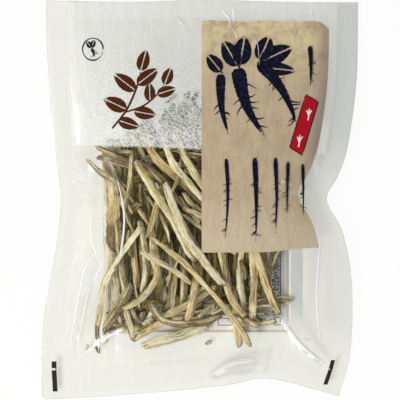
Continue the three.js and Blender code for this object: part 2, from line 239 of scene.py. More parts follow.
def split_path(path, rng):
    """The narrower paths, side by side and of uneven length, that a wide strip is split into."""
    share = np.linspace(0, 1, SPLIT_STEPS)
    rows = spline(path, SPLIT_STEPS, 3)
    along = share * length_of(path)
    side = sideways(rows)
    lanes = 2 if rng.random() < 0.35 else 3
    spread = rng.uniform(1.3, 1.42)
    cuts = [np.full(SPLIT_STEPS, -1.0)]
    cuts += [-1 + 2 * k / lanes + 0.2 * wave(rng, along, 60) for k in range(1, lanes)]
    cuts.append(np.full(SPLIT_STEPS, 1.0))
    parts = []
    for low, high in zip(cuts[:-1], cuts[1:]):
        joint = rng.uniform(0.3, 0.7)
        spans = [(0.0, 1.0)] if rng.random() < 0.35 else [(0.0, joint), (joint + 0.02, 1.0)]
        for first, last in spans:
            chosen = (share >= first + rng.uniform(0, 0.06)) & (share <= last - rng.uniform(0, 0.06))
            part = rows[chosen].copy()
            middle = (0.5 * (low + high) * rows[:, 3])[chosen]
            part[:, :2] += side[chosen] * (spread * middle)[:, None]
            part[:, 2] += middle * np.tan(part[:, 5]) + rng.uniform(-0.15, 0.1)
            part[:, 3] = (0.5 * spread * (high - low) * rows[:, 3])[chosen] - 0.12
            part[:, 4] *= rng.uniform(0.75, 1.0)
            parts.append(part)
    return parts


def facets_of(angle, along, look, rng):
    """A cut strip's section: its radius round each ring, how far each place belongs to each facet, and
    how far up each facet faces."""
    fewest, most = look["facets"]
    count = int(rng.integers(fewest, most + 1))
    start = rng.uniform(0, 2 * np.pi)
    parts, rise = [], []
    for k in range(count):
        facing = start + 2 * np.pi * (k + rng.uniform(-0.22, 0.22)) / count
        facing = facing + 0.16 * wave(rng, along, 55)[:, None]
        depth = rng.uniform(0.66, 1.0) * (1 + 0.05 * wave(rng, along, 25)[:, None])
        parts.append((np.clip(np.cos(angle - facing), 0, None) / depth) ** WORN)
        rise.append(np.sin(facing).mean())
    total = np.sum(parts, axis=0)
    return total ** (-1 / WORN), np.array(parts) / total, np.array(rise)


def bent_line(rows, along, rng):
    """A strip's centre line, a little crooked, and the ways along, across and up at each step."""
    centre = rows[:, :3]
    way = unit(np.gradient(centre, axis=0))
    side = unit(np.cross([0, 0, 1], way))
    up = np.cross(way, side)
    centre = centre + side * (0.3 * wave(rng, along, 34))[:, None]
    centre = centre + up * (0.12 * wave(rng, along, 16))[:, None]
    return centre, way, side, up


def sizes_along(rows, along, rng):
    """Half width, half thickness and lean along a strip with thinner ends and uneven sides."""
    length = along[-1]
    size = np.ones(len(along))
    for end in (along, length - along):
        blunt = rng.uniform(0.62, 1.0)
        size *= blunt + (1 - blunt) * np.sqrt(smoothstep(0, rng.uniform(3, 11), end))
        size *= 0.75 + 0.25 * np.sqrt(smoothstep(-0.1, 0.6, end))
    lumps = 0.055 * wave(np.random.default_rng(round(100 * length)), along, 7)
    uneven = 1 + 0.08 * wave(rng, along, 30) + 0.03 * wave(rng, along, 7) + lumps
    half_width = rows[:, 3] * size * uneven
    half_thick = rows[:, 4] * size * (1 + 0.08 * wave(rng, along, 20))
    lean = rows[:, 5] + 0.5 / rows[:, 3] * wave(rng, along, 50)
    return half_width, half_thick, lean


def furrows_of(angle, along, rng):
    """How far each place of a strip's surface lies in one of its furrows."""
    furrow = np.zeros((len(along), angle.size))
    for _ in range(FURROW_COUNT):
        at = rng.uniform(0, 2 * np.pi) + 0.25 * wave(rng, along, 40)[:, None]
        away = np.abs((angle - at + np.pi) % (2 * np.pi) - np.pi)
        depth = np.clip(0.45 + 0.7 * wave(rng, along, 22)[:, None], 0, 1)
        furrow += np.exp(-((away / 0.15) ** 2)) * depth
    return furrow


def skin_of(kind, member, rise, along, rng):
    """How far each place of a strip's surface keeps its skin: a few facets do, with bare stretches."""
    order = rng.permutation(len(member))
    if kind not in BARK_KINDS:
        order = order[np.argsort(rise[order] > 0.5, kind="stable")]
    fewest, most = KINDS[kind]["skins"]
    skins = order[: int(rng.integers(fewest, most + 1))]
    return member[skins].sum(axis=0) * np.clip(1.1 + 0.5 * wave(rng, along, 26)[:, None], 0, 1)


def cut_slide(x, y, along, rng):
    """How far each place slides along the strip, so that both its ends are cut off at a slant."""
    slide = np.zeros(x.shape)
    for end, out in ((along, -1), (along[-1] - along, 1)):
        cut = rng.uniform(-0.9, 0.9) * x + rng.uniform(-1.2, 1.2) * y
        slide += out * np.minimum(cut - cut.max(axis=1, keepdims=True), 0) * smoothstep(5, 0, end)[:, None]
    return slide


def strip_surface(path, kind, rng, tone=None, dry=None):
    """Points, faces and shader values of one dried strip: faceted, furrowed, with cut ends."""
    look = KINDS[kind]
    around = look["around"]
    length = length_of(path)
    count = max(12, round(length / look["step"]))
    rows = spline(path, count, 3)
    along = np.linspace(0, length, count)
    centre, way, side, up = bent_line(rows, along, rng)
    half_width, half_thick, lean = sizes_along(rows, along, rng)
    angle = np.linspace(0, 2 * np.pi, around, endpoint=False)[None, :]
    radius, member, rise = facets_of(angle, along, look, rng)
    furrow = furrows_of(angle, along, rng)
    skin = skin_of(kind, member, rise, along, rng)
    withered = np.zeros(count)
    if dry:
        withered = smoothstep(dry[0], dry[1], centre[:, 1])
        half_width = half_width * (1 - dry[2] * withered)
    skin = np.maximum(skin, smoothstep(0.5, 0.8, withered)[:, None])
    wrinkle = 0.05 * wave(rng, along, 2.4)[:, None] * skin
    swell = radius * (1 - look["furrow"] * furrow + wrinkle)

    x, y = np.cos(angle) * swell, np.sin(angle) * swell
    x *= half_width[:, None] / np.abs(x).max(axis=1, keepdims=True)
    y *= half_thick[:, None] / np.abs(y).max(axis=1, keepdims=True)
    slide = cut_slide(x, y, along, rng)
    c, s = np.cos(lean)[:, None], np.sin(lean)[:, None]
    points = centre[:, None] + side[:, None] * (c * x - s * y)[..., None]
    points = points + up[:, None] * (s * x + c * y)[..., None] + way[:, None] * slide[..., None]
    faces = grid_faces(count, around, closed=True).tolist()
    last = (count - 1) * around
    faces.append(list(range(around))[::-1])
    faces.append(list(range(last, last + around)))

    facet_tone = np.einsum("k,krc->rc", rng.uniform(-0.4, 0.4, len(member)), member)
    random_tone = rng.uniform(0, 1)
    level = random_tone if tone is None else tone
    level = level + 0.15 * wave(rng, along, 40)[:, None] + facet_tone
    level = level - 0.8 * smoothstep(0, 0.5, withered)[:, None]
    shade = {
        "along": np.repeat(along + rng.uniform(0, 500), around),
        "across": x.ravel(),
        "lift": y.ravel(),
        "skin": skin.ravel(),
        # furrow and ridge also feed the shader: painted shade in the furrows, a painted highlight at facet
        # corners.
        "furrow": np.clip(furrow, 0, 1).ravel(),
        "ridge": np.clip(2 * (1 - member.max(axis=0)), 0, 1).ravel(),
        "tone": level.ravel(),
        "rust": np.full(count * around, max(0.0, rng.normal(0.1, 0.5))),
        "tip": np.repeat(1 - smoothstep(0, 6, np.minimum(along, length - along)), around),
    }
    return points.reshape(-1, 3), faces, shade


# ---------- materials ----------
def linear(red, green, blue):
    """A colour given in sRGB, 0 to 255, as Blender's linear colour."""
    scaled = [channel / 255 for channel in (red, green, blue)]
    return [c / 12.92 if c < 0.04045 else ((c + 0.055) / 1.055) ** 2.4 for c in scaled] + [1.0]


class Shader:
    """A node material, with short names for the nodes that it is made of."""

    def __init__(self, name):
        self.material = bpy.data.materials.new(name)
        self.material.use_nodes = True
        self.tree = self.material.node_tree
        self.surface = self.tree.nodes["Principled BSDF"]

    def node(self, kind, inputs=None, **settings):
        made = self.tree.nodes.new("ShaderNode" + kind)
        for key, value in settings.items():
            setattr(made, key, value)
        for key, value in (inputs or {}).items():
            self.set(made.inputs[key], value)
        return made

    def set(self, socket, value):
        """Links a socket, or gives it a constant; colours are in sRGB, 0 to 255."""
        if isinstance(value, bpy.types.NodeSocket):
            self.tree.links.new(value, socket)
        elif socket.type == "RGBA":
            socket.default_value = linear(*value)
        else:
            socket.default_value = value

    def principled(self, **values):
        for key, value in values.items():
            self.set(self.surface.inputs[key.replace("_", " ").title().replace("Ior", "IOR")], value)

    def math(self, operation, *values):
        return self.node("Math", dict(enumerate(values)), operation=operation).outputs[0]

    def chain(self, operation, first, *others):
        """An operation on two values, then on what it gives and the next value, and so on."""
        for other in others:
            first = self.math(operation, first, other)
        return first

    def times(self, *values):
        return self.chain("MULTIPLY", *values)

    def plus(self, *values):
        return self.chain("ADD", *values)

    def minus(self, first, second):
        return self.math("SUBTRACT", first, second)

    def most(self, *values):
        return self.chain("MAXIMUM", *values)

    def attribute(self, name):
        return self.node("Attribute", attribute_name=name).outputs["Fac"]

    def facing(self):
        """0 where the surface faces the eye, growing to 1 where it is seen edge on."""
        return self.node("LayerWeight", {"Blend": 0.5}).outputs["Facing"]

    def place(self):
        """Where a point is on the object, in metres."""
        return self.node("TexCoord").outputs["Object"]

    def vector(self, x, y, z=0.0):
        return self.node("CombineXYZ", {0: x, 1: y, 2: z}).outputs[0]

    def noise(self, vector, scale, detail=3.0, roughness=0.55):
        values = {"Vector": vector, "Scale": scale, "Detail": detail, "Roughness": roughness}
        return self.node("TexNoise", values).outputs["Fac"]

    def step(self, value, low, high):
        """0 below low, 1 above high, and smooth between; the other way round if low is the higher."""
        values = {"Value": value, "From Min": low, "From Max": high}
        return self.node("MapRange", values, interpolation_type="SMOOTHSTEP").outputs["Result"]

    def band(self, value, low, high, soft=0.12):
        """1 from low to high and 0 outside, with soft edges."""
        above = self.step(value, low - soft, low + soft)
        below = self.step(value, high + soft, high - soft)
        return self.times(above, below)

    def mix(self, share, first, second, blend="MIX"):
        made = self.node("Mix", data_type="RGBA", blend_type=blend)
        for socket, value in zip([made.inputs[0], made.inputs[6], made.inputs[7]], (share, first, second)):
            self.set(socket, value)
        return made.outputs[2]

    def layers(self, colour, *rows):
        """Colours laid over a first one in turn: rows of a strength, a share, a colour, perhaps a blend."""
        for strength, share, over, *blend in rows:
            colour = self.mix(self.times(share, strength), colour, over, *blend)
        return colour

    def ramp(self, share, *stops):
        made = self.node("ValToRGB", {"Fac": share})
        elements = made.color_ramp.elements
        while len(elements) < len(stops):
            elements.new(0.5)
        for element, (position, colour) in zip(elements, stops):
            element.position = position
            element.color = linear(*colour)
        return made.outputs["Color"]

    def bump(self, height, strength, distance):
        values = {"Height": height, "Strength": strength, "Distance": distance}
        return self.node("Bump", values).outputs["Normal"]


# Colours per kind: light, middle and dark.
FLESH = {
    "pale": [(255, 250, 220), (255, 244, 195), (218, 191, 124)],
    "cream": [(255, 255, 242), (252, 251, 228), (234, 228, 186)],
    "tan": [(255, 246, 204), (252, 231, 172), (192, 161, 99)],
    "bark": [(252, 243, 200), (226, 209, 150), (136, 113, 60)],
    # The deep kind's near-black olive flesh is painted shade: it stands for the shade low in the pile.
    "deep": [(168, 152, 70), (96, 85, 24), (28, 24, 2)],
}
SKIN = {
    "pale": [(216, 198, 156), (150, 126, 86), (50, 36, 18)],
    "cream": [(216, 198, 156), (150, 126, 86), (50, 36, 18)],
    "tan": [(212, 192, 148), (146, 121, 80), (46, 34, 16)],
    "bark": [(224, 208, 172), (158, 136, 102), (48, 36, 22)],
    # The deep kind's near-black skin is painted shade as well.
    "deep": [(150, 132, 78), (78, 65, 26), (12, 9, 1)],
}


def root_material(kind):
    """Dried burdock: fibrous flesh with painted shade in its furrows and at its edges, painted highlights on
    its facet corners, and wrinkled skin where it is left on.
    """
    m = Shader("dried_root_" + kind)
    pale, middle, dark = FLESH[kind]
    light_skin, skin, dark_skin = SKIN[kind]
    along, across, lift = (m.attribute(key) for key in ("along", "across", "lift"))

    def grain(stretch, scale, detail=3.0, roughness=0.55, spread=1.0):
        """Noise drawn out along the strip, the more so the smaller stretch is."""
        place = m.vector(m.times(along, stretch), m.times(across, spread), lift)
        return m.noise(place, scale, detail, roughness)

    fibre = grain(0.09, 1.5, 5.0, 0.65)
    thread = grain(0.07, 1.25, 2.0, 0.5)
    patch = grain(0.35, 0.35)
    speck = grain(1.0, 1.3, 3.0, 0.7)
    grit = grain(0.16, 1.7, 3.0, 0.6)
    broad = grain(0.1, 0.6, 2.0, spread=0.4)
    # ridge lightens the flesh at the corners between facets: a painted highlight.
    tone, ridge = m.times(m.attribute("tone"), 0.45), m.times(m.attribute("ridge"), 0.2)
    level = m.plus(tone, m.times(patch, 0.35), ridge)
    flesh = m.layers(
        m.ramp(level, (0.05, dark), (0.31, middle), (0.53, pale)),
        (0.8, m.step(fibre, 0.54, 0.36), dark),
        (0.65, m.step(fibre, 0.54, 0.64), pale),
        (0.85, m.times(m.step(thread, 0.56, 0.66), m.step(patch, 0.36, 0.52)), (120, 94, 50)),
        (0.6, m.step(thread, 0.44, 0.34), (255, 253, 226)),
        # Painted shade: the flesh is darkened in the furrows, where shade falls.
        (0.8, m.times(m.attribute("furrow"), m.step(fibre, 0.68, 0.42)), (104, 80, 46)),
        (0.7, m.times(m.attribute("tip"), m.step(speck, 0.4, 0.65)), (112, 86, 54)),
        (0.5, m.step(speck, 0.56, 0.68), dark),
        (0.45, m.step(speck, 0.42, 0.3), pale),
        (0.6, m.times(m.attribute("rust"), m.step(patch, 0.42, 0.6)), (184, 118, 76)),
        (0.24, m.step(broad, 0.5, 0.64), (238, 228, 152), "MULTIPLY"),
        (0.7, m.times(m.step(grit, 0.54, 0.66), m.step(patch, 0.4, 0.56)), (160, 134, 90), "MULTIPLY"),
        (0.4, m.step(grit, 0.44, 0.34), pale),
        # Painted shade: the flesh is darkened where the surface is seen edge on.
        (0.6, m.step(m.facing(), 0.3, 0.8), (98, 74, 38)),
    )
    mottle = m.plus(m.times(fibre, 0.6), m.times(speck, 0.4))
    bark = m.ramp(mottle, (0.36, dark_skin), (0.52, skin), (0.66, light_skin))
    left_on = m.attribute("skin")
    edge = m.plus(left_on, m.times(m.minus(fibre, 0.5), 1.1), m.times(m.minus(patch, 0.5), 0.9))
    height = m.plus(fibre, m.times(grain(1.2, 0.9), left_on))
    m.principled(base_color=m.mix(m.step(edge, 0.4, 0.62), flesh, bark), roughness=0.75)
    m.principled(specular_ior_level=0.3, normal=m.bump(height, 0.9, 0.001))
    return m.material


MATERIALS = {kind: root_material(kind) for kind in FLESH}


def make_strips():
    """A detailed piece for each CAD strip."""
    made = []
    for name in sorted(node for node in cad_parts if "_strip_" in node):
        kind, number = name.split("_")[0], int(name.split("_")[-1])
        rng = np.random.default_rng(SEEDS["strips"] + number)
        path = strip_path(name)
        special = SPECIAL.get(number, {})
        # Bed strips take the deep look, whose near-black colours are painted shade.
        look = special.get("look", "deep" if number <= BED_COUNT else kind)
        paths = split_path(path, rng) if look == "deep" else [path]
        notes = special.get("tone"), special.get("dry")
        surfaces = [strip_surface(part, look, rng, *notes) for part in paths]
        piece = joined_piece("dried_" + name, surfaces, MATERIALS[look])
        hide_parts(name)
        made.append(piece)
    return made


def surface_tree(pieces):
    """A search tree over pieces' meshes, in millimetres."""
    vertices, faces = [], []
    for piece in pieces:
        start = len(vertices)
        vertices += [corner.co / MM for corner in piece.data.vertices]
        faces += [[start + corner for corner in polygon.vertices] for polygon in piece.data.polygons]
    return BVHTree.FromPolygons(vertices, faces)


def heights(tree, plan, missing=0):
    """Height of the highest surface over each plan position, or missing where there is none."""
    found = np.full(plan.shape[:-1], float(missing))
    for index in np.ndindex(found.shape):
        hit = tree.ray_cast(Vector((*plan[index], 200)), Vector((0, 0, -1)))[0]
        if hit is not None:
            found[index] = hit.z
    return found


def tree_of(surface):
    """A search tree over one strip's surface, in millimetres."""
    points, faces, _ = surface
    return BVHTree.FromPolygons(points.tolist(), faces)


# Groups of extra slivers: how many, how much of each must lie over a gap, the directions they lie in,
# and their sizes and places in mm. The deep groups are near black: painted shade in the pile's gaps.
SLIVERS = [
    {"name": "bed", "kind": "deep", "count": 70, "tries": 6000, "open": 0.4, "turn": (1.6, 0.35),
     "length": (8, 34), "half_width": (1.0, 2.1), "x": (-45, 34)},
    {"name": "foot", "kind": "deep", "count": 16, "tries": 3000, "open": 0.4, "turn": (0.6, 0.9),
     "length": (8, 22), "half_width": (1.0, 2.0), "x": (-42, 30), "y": (-57, -36)},
    {"name": "corner", "kind": "bark", "count": 5, "tries": 2000, "open": 0.3, "turn": (0.0, 0.3),
     "length": (9, 20), "half_width": (1.3, 2.2), "x": (-45, -18), "y": (21, 36)},
    {"name": "tan", "kind": "tan", "count": 44, "tries": 700, "open": 0, "turn": (1.85, 0.6),
     "length": (14, 44), "half_width": (0.7, 1.6)},
    {"name": "pale", "kind": "pale", "count": 24, "tries": 400, "open": 0, "turn": (2.0, 0.6),
     "length": (16, 36), "half_width": (0.6, 1.3)},
    {"name": "low", "kind": "pale", "count": 16, "tries": 700, "open": 0, "turn": (0.3, 0.5),
     "length": (12, 36), "half_width": (0.8, 1.6), "y": (-63, -44)},
    {"name": "heel", "kind": "bark", "count": 9, "tries": 2500, "open": 0.25, "turn": (0.5, 0.6),
     "length": (7, 16), "half_width": (1.0, 1.8), "x": (-45.5, -18), "y": (-64, -48)},
]
PILE_AREA = {"x": (-45.5, 41.5), "y": (-63, 56)}
PILE_CORNER = (62, 0.75)  # the pile's upper left is cut off: its height at x 0, and the cut's slope
BED_TOP = 0.7  # mm, where slivers lie beside the bed's strips
SLIVER_LIFTS = (0.1, 0.7, 1.5, 2.6, 4.0)  # mm over the bed, tried in turn


def sliver_plan(rng, group):
    """A random bowed route inside the pile, or nothing if it would stick out."""
    area = {key: group.get(key, PILE_AREA[key]) for key in "xy"}
    middle = np.array([rng.uniform(*area["x"]), rng.uniform(*area["y"])])
    length = rng.uniform(*group["length"])
    turn = rng.normal(*group["turn"])
    way = np.array([np.cos(turn), np.sin(turn)])
    share = np.linspace(-0.5, 0.5, max(5, round(length / 4)))
    bow = rng.uniform(-0.08, 0.08) * length
    side = np.array([-way[1], way[0]])
    plan = middle + share[:, None] * length * way + (bow * (1 - 4 * share**2))[:, None] * side
    for axis, key in enumerate("xy"):
        if plan[:, axis].min() < area[key][0] or plan[:, axis].max() > area[key][1]:
            return None, None
    if (plan[:, 1] > PILE_CORNER[0] + PILE_CORNER[1] * plan[:, 0]).any():
        return None, None
    return share, plan


def covered(plan, trees, least_open):
    """Whether less of a route than the least share has nothing of the trees' surfaces over it."""
    if not trees or not least_open:
        return False
    tops = [heights(tree, plan) for tree in trees]
    return (np.max(tops, axis=0) < BED_TOP).mean() < least_open


def laid_sliver(rng, group, share, plan, bed, others):
    """A sliver at the lowest height where it touches nothing, with its tree; nothing if there is none."""
    half_width, half_thick = rng.uniform(*group["half_width"]), rng.uniform(0.4, 0.7)
    ground = heights(bed, plan, BED_TOP)
    slope = np.polyfit(share, ground, 1)[0] * 0.8
    base = (ground - slope * share).max() + half_thick
    section = np.tile([half_width, half_thick, rng.uniform(-0.15, 0.15)], (len(plan), 1))
    for lift in SLIVER_LIFTS:
        path = np.column_stack([plan, base + slope * share + lift, section])
        surface = strip_surface(path, "sliver", rng)
        tree = tree_of(surface)
        if not any(tree.overlap(other) for other in others):
            return surface, tree
    return None


def make_slivers(pieces):
    """Thin broken strips that fill the gaps of the pile, clear of what lies above and below them; the deep
    ones are near black, as painted shade in the gaps.
    """
    rng = np.random.default_rng(SEEDS["slivers"])
    bed = surface_tree([piece for piece in pieces if int(piece.name.split("_")[-1]) <= BED_COUNT])
    pile = surface_tree(pieces)
    trees, made = [], []
    for group in SLIVERS:
        kept = []
        for _ in range(group["tries"]):
            share, plan = sliver_plan(rng, group)
            if len(kept) == group["count"] or plan is None:
                continue
            if covered(plan, [pile], group["open"]) or covered(plan, trees, group["open"]):
                continue
            found = laid_sliver(rng, group, share, plan, bed, [pile, *trees])
            if found:
                kept.append(found[0])
                trees.append(found[1])
        kind = group["kind"]
        made.append(joined_piece("slivers_" + group["name"], kept, MATERIALS[kind]))
    return made


# Crumbs by the pile, per kind: x, y, height, direction, length, half width and half thickness.
CRUMBS = {
    "bark": [(-51.6, -75.6, 2.6, 1.75, 4.4, 1.5, 0.6), (-46.4, -56.9, 1.6, 0.5, 3.2, 0.9, 0.5)],
    "tan": [(-57.0, -74.4, 2.8, 1.2, 3.0, 0.9, 0.45), (4.2, -72.0, 2.0, 0.3, 3.6, 1.3, 0.6)],
    "pale": [(-48.0, -71.8, 2.0, 0.9, 4.2, 0.9, 0.5)],
}
ALL_DRY = (0, -1, 0.0)  # withered from y 0 to -1 on, which is all of a crumb


def make_crumbs():
    """Small broken bits of root that lie loose in the pouch; those with bark are withered."""
    rng = np.random.default_rng(SEEDS["crumbs"])
    made = []
    for kind, rows in CRUMBS.items():
        look, notes = ("bark", (0.0, ALL_DRY)) if kind == "bark" else ("sliver", ())
        surfaces = []
        for x, y, z, turn, length, half_width, half_thick in rows:
            share = np.linspace(-0.5, 0.5, 5)[:, None]
            line = np.array([x, y, z]) + share * length * np.array([np.cos(turn), np.sin(turn), 0.0])
            section = np.tile([half_width, half_thick, 0.1], (5, 1))
            surfaces.append(strip_surface(np.column_stack([line, section]), look, rng, *notes))
        made.append(joined_piece("crumbs_" + kind, surfaces, MATERIALS[kind]))
    return made


strips = make_strips()
strips += make_slivers(strips)
strips += make_crumbs()

# ---------- the film ----------
EDGES = {name: spline(points) for name, points in OUTLINE.items()}
FRONT_GRID = (250, 316)
BACK_GRID = (170, 210)
SEAL_HEIGHT = (0.5, 6.0)  # mm above the surface, at the pouch's corners and at the middles of its sides
BACK_FLAT = 0.45  # mm, the back film's height where it is flat
BACK_CURL = 0.08  # share of the sheet over which it rises to the seals
CLEARANCE = 0.35  # mm between the film and what it lies on
RELAXED = 0.2  # mm of the clearance that it gives up where it sags between strips
HELD_ROOM = 0.012  # share of the sheet inside the seals where it is still held
CREASE_STEPS = 24  # points along a crease


def edge_at(edge, share):
    """Plan position of a share of the way along one of the pouch's edges."""
    steps = np.linspace(0, 1, len(EDGES[edge]))
    return np.stack([np.interp(share, steps, EDGES[edge][:, k]) for k in (0, 1)], axis=-1)


def sheet_points(s, t):
    """Plan position of shares s across and t up the pouch."""
    across, up = s[..., None], t[..., None]
    sides = edge_at("left", t) * (1 - across) + edge_at("right", t) * across
    ends = edge_at("bottom", s) * (1 - up) + edge_at("top", s) * up
    low = EDGES["left"][0] * (1 - across) + EDGES["right"][0] * across
    high = EDGES["left"][-1] * (1 - across) + EDGES["right"][-1] * across
    return sides + ends - low * (1 - up) - high * up


def seal_height(s, t):
    """How high the film's sealed edges stand, in mm."""
    middle = 1 - (1 - np.sin(np.pi * s)) * (1 - np.sin(np.pi * t))
    return SEAL_HEIGHT[0] + (SEAL_HEIGHT[1] - SEAL_HEIGHT[0]) * middle


def seal_room(s, t):
    """How far inside the seals a place is, as a share of the sheet; negative on a seal."""
    rooms = [s - SEAL_SIDE, 1 - SEAL_SIDE - s, t - SEAL_BOTTOM, 1 - SEAL_TOP - t]
    return np.minimum.reduce(rooms)


def rim_distance(s, t):
    """Distance from the pouch's cut edge, in mm."""
    across, up = np.minimum(s, 1 - s) * 2 * HALF_WIDTH, np.minimum(t, 1 - t) * 2 * HALF_HEIGHT
    return np.minimum(across, up)


def flat_coordinates(s, t, plan):
    """Where a place lies on the flat printed film, in mm: the sides keep their distance from the edge."""
    nominal = HALF_WIDTH * (2 * s - 1)
    left, right = (edge_at(edge, t)[..., 0] for edge in ("left", "right"))
    u = plan[..., 0] + smoothstep(18, 60, nominal) * (HALF_WIDTH - right)
    u = u - smoothstep(18, 60, -nominal) * (HALF_WIDTH + left)
    return u, plan[..., 1]


def widened(values):
    """Each cell takes the highest value of itself and its four neighbours."""
    padded = np.pad(values, 1, mode="edge")
    rows, columns = padded[:, 1:-1], padded[1:-1]
    return np.maximum.reduce([values, rows[:-2], rows[2:], columns[:, :-2], columns[:, 2:]])


def drape(height, floor, free, rounds, lift, over=1.75):
    """A taut sheet let down on what lies under it. Each round moves the free points over times the way to
    the mean of their neighbours, but not below the floor; lift is the push of the air inside."""
    rows, columns = np.indices(height.shape)
    checks = [(free & ((rows + columns) % 2 == side))[1:-1, 1:-1] for side in (0, 1)]
    inner = height[1:-1, 1:-1]
    for _ in range(rounds):
        for check in checks:
            mean = 0.25 * (height[:-2, 1:-1] + height[2:, 1:-1] + height[1:-1, :-2] + height[1:-1, 2:])
            moved = np.maximum(inner + over * (mean + lift - inner), floor[1:-1, 1:-1])
            np.copyto(inner, moved, where=check)
    return height


def away_from(line, plan):
    """Distance from a polyline, and the share of its length at the nearest point."""
    line = np.asarray(line, float)
    lengths = np.linalg.norm(np.diff(line, axis=0), axis=1)
    start = np.concatenate([[0], np.cumsum(lengths)])
    nearest, share = np.full(plan.shape[:-1], np.inf), np.zeros(plan.shape[:-1])
    for k, length in enumerate(lengths):
        way = (line[k + 1] - line[k]) / length
        offset = plan - line[k]
        reach = np.clip(offset @ way, 0, length)
        distance = np.linalg.norm(offset - reach[..., None] * way, axis=-1)
        closer = distance < nearest
        nearest[closer] = distance[closer]
        share[closer] = ((start[k] + reach) / start[-1])[closer]
    return nearest, share


# Broad creases of the front film: the line in plan, the ridge's height and width in mm, how strong the
# painted highlight along it is, and how wide that painted highlight reaches.
CREASES = [
    ([(-54.5, -74.4), (-50.5, -71), (-43.9, -67.4), (-36, -63.2)], 0.3, 2.6, 1.0, 1.15),
    ([(38, -56), (45.1, -65.7), (50.7, -73), (56.4, -78.1), (64, -84)], 1.7, 3.0, 1.0, 1.2),
    ([(-55, -41), (-58.8, -57), (-62.7, -75)], 0.1, 2.4, 0.4, 1.5),
    ([(63, -2), (52, -4), (42, -14), (33, -27)], 0.35, 2.6, 0.0, 1.0),
    ([(62, -3), (58, -14), (60, -24)], 0.35, 2.4, 0.0, 1.0),
    ([(62, 0), (48, 6), (34, 8)], 0.3, 2.6, 0.0, 1.0),
    ([(63, 2), (54, 14), (47, 26)], 0.35, 2.6, 0.0, 1.0),
    ([(63, 1), (57, 16), (58, 34)], 0.3, 2.6, 0.0, 1.0),
    ([(-12, 92), (-8.5, 87.5), (-4, 80)], 0.4, 1.0, 0.5, 0.6),
    ([(4, -89.5), (13, -84), (20, -81.6), (31, -80.6)], 0.04, 3.0, 0.9, 2.2),
    ([(5.6, -91), (11.3, -87.2), (22.5, -86.4), (30, -85)], 0.04, 2.0, 0.5, 1.4),
    ([(32.2, -90), (33.8, -82.6), (36.1, -71.5)], 0.6, 2.2, 0.2, 1.4),
    ([(-30, -83), (0, -80), (8, -82)], 0.5, 2.5, 0.1, 1.4),
    ([(52, -69.5), (56, -71)], 0.3, 0.8, 0.5, 0.5),
]


# Fine pinched folds of the front film, drawn as ribbons with a painted highlight: rows of x, y and half
# width, in mm.
FOLDS = [
    [(60.8, -20, 0.12), (59.6, -32, 0.5), (58.9, -46, 0.5), (59.2, -56, 0.5), (60.8, -72, 0.12)],
    [(-41.5, 11, 0.12), (-38.7, -2, 0.5), (-38, -9.6, 0.55), (-38.3, -15.7, 0.55), (-39.1, -22.2, 0.5),
     (-40.2, -30, 0.12)],
    [(-54.6, -6, 0.12), (-54.8, -18.9, 0.45), (-52.9, -25.1, 0.45), (-50.6, -31.8, 0.19)],
    [(-50.4, -27, 0.12), (-49.6, -33, 0.38), (-52.2, -38.6, 0.38), (-51.8, -44.5, 0.12)],
    [(-52.9, -27, 0.19), (-56.5, -31.8, 0.43), (-58.8, -37.5, 0.43), (-60.5, -45.9, 0.38), (-62.2, -55, 0.38),
     (-64.1, -66.2, 0.33), (-65.3, -74, 0.12)],
    [(-64.7, -48, 0.1), (-66.1, -60, 0.25), (-66.3, -72, 0.1)],
    [(-55.2, -42, 0.12), (-57.4, -52, 0.33), (-59.4, -62, 0.3), (-62.7, -75, 0.1)],
    [(-66, 24, 0.1), (-60, 15, 0.25), (-52, 6, 0.1)],
    [(-67, 18, 0.1), (-60, 12, 0.25), (-51, 5, 0.1)],
    [(-68, 11, 0.1), (-61, 8, 0.25), (-51, 3, 0.1)],
    [(-66, 3, 0.1), (-59, 2.5, 0.22), (-52, 0, 0.1)],
    [(-63, -81.8, 0.12), (-55.6, -75.8, 0.32), (-51, -71.6, 0.3), (-47, -68.6, 0.25)],
    [(58, -79, 0.38), (62, -82.4, 0.38), (66, -86, 0.12)],
    [(4, -90, 0.12), (10, -85.5, 0.44), (19, -81.8, 0.38), (31, -80.6, 0.12)],
    [(41.5, -60, 0.25), (46, -66, 0.55), (51.5, -73, 0.61), (58, -79, 0.38)],
    [(11, 96.5, 0.12), (13, 93.6, 0.6), (14.8, 91, 0.45), (15.5, 87, 0.12)],
    [(17.8, 98, 0.12), (16.8, 95, 0.7), (17.2, 92, 0.5), (16.6, 89.5, 0.12)],
    [(15.2, 88, 0.08), (18, 84, 0.18), (19, 80, 0.08)],
    [(26, 83, 0.08), (29, 78, 0.16), (29.8, 68, 0.08)],
    [(46, 92, 0.08), (47, 88, 0.16), (49, 82, 0.08)],
    [(57.5, 98.5, 0.1), (56.6, 95.5, 0.3), (56, 92, 0.1)],
    [(-11.5, 91.8, 0.12), (-9.8, 89.6, 0.6), (-7.2, 87.6, 0.12)],
    [(-66.4, 64, 0.08), (-65.8, 53, 0.22), (-65.3, 42, 0.08)],
]


def film_piece(node, material, sheet, height, glint_paint):
    """The piece for one sheet of film; its points know their place on the flat printed film."""
    s, t, plan = sheet
    u, v = flat_coordinates(s, t, plan)
    values = {"flat_u": u, "flat_v": v, "white": glint_paint, "rim": rim_distance(s, t)}
    shade = {key: value.ravel() for key, value in values.items()}
    piece = mesh_object("pouch_" + node, lifted(plan, height), grid_faces(*s.shape), shade)
    piece.data.materials.append(material)
    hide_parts(node)
    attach(piece, "root")
    return piece


def sheet_grid(size):
    """Shares across and up a sheet on a grid of points, and their plan positions."""
    s, t = np.meshgrid(np.linspace(0, 1, size[0]), np.linspace(0, 1, size[1]))
    return s, t, sheet_points(s, t)


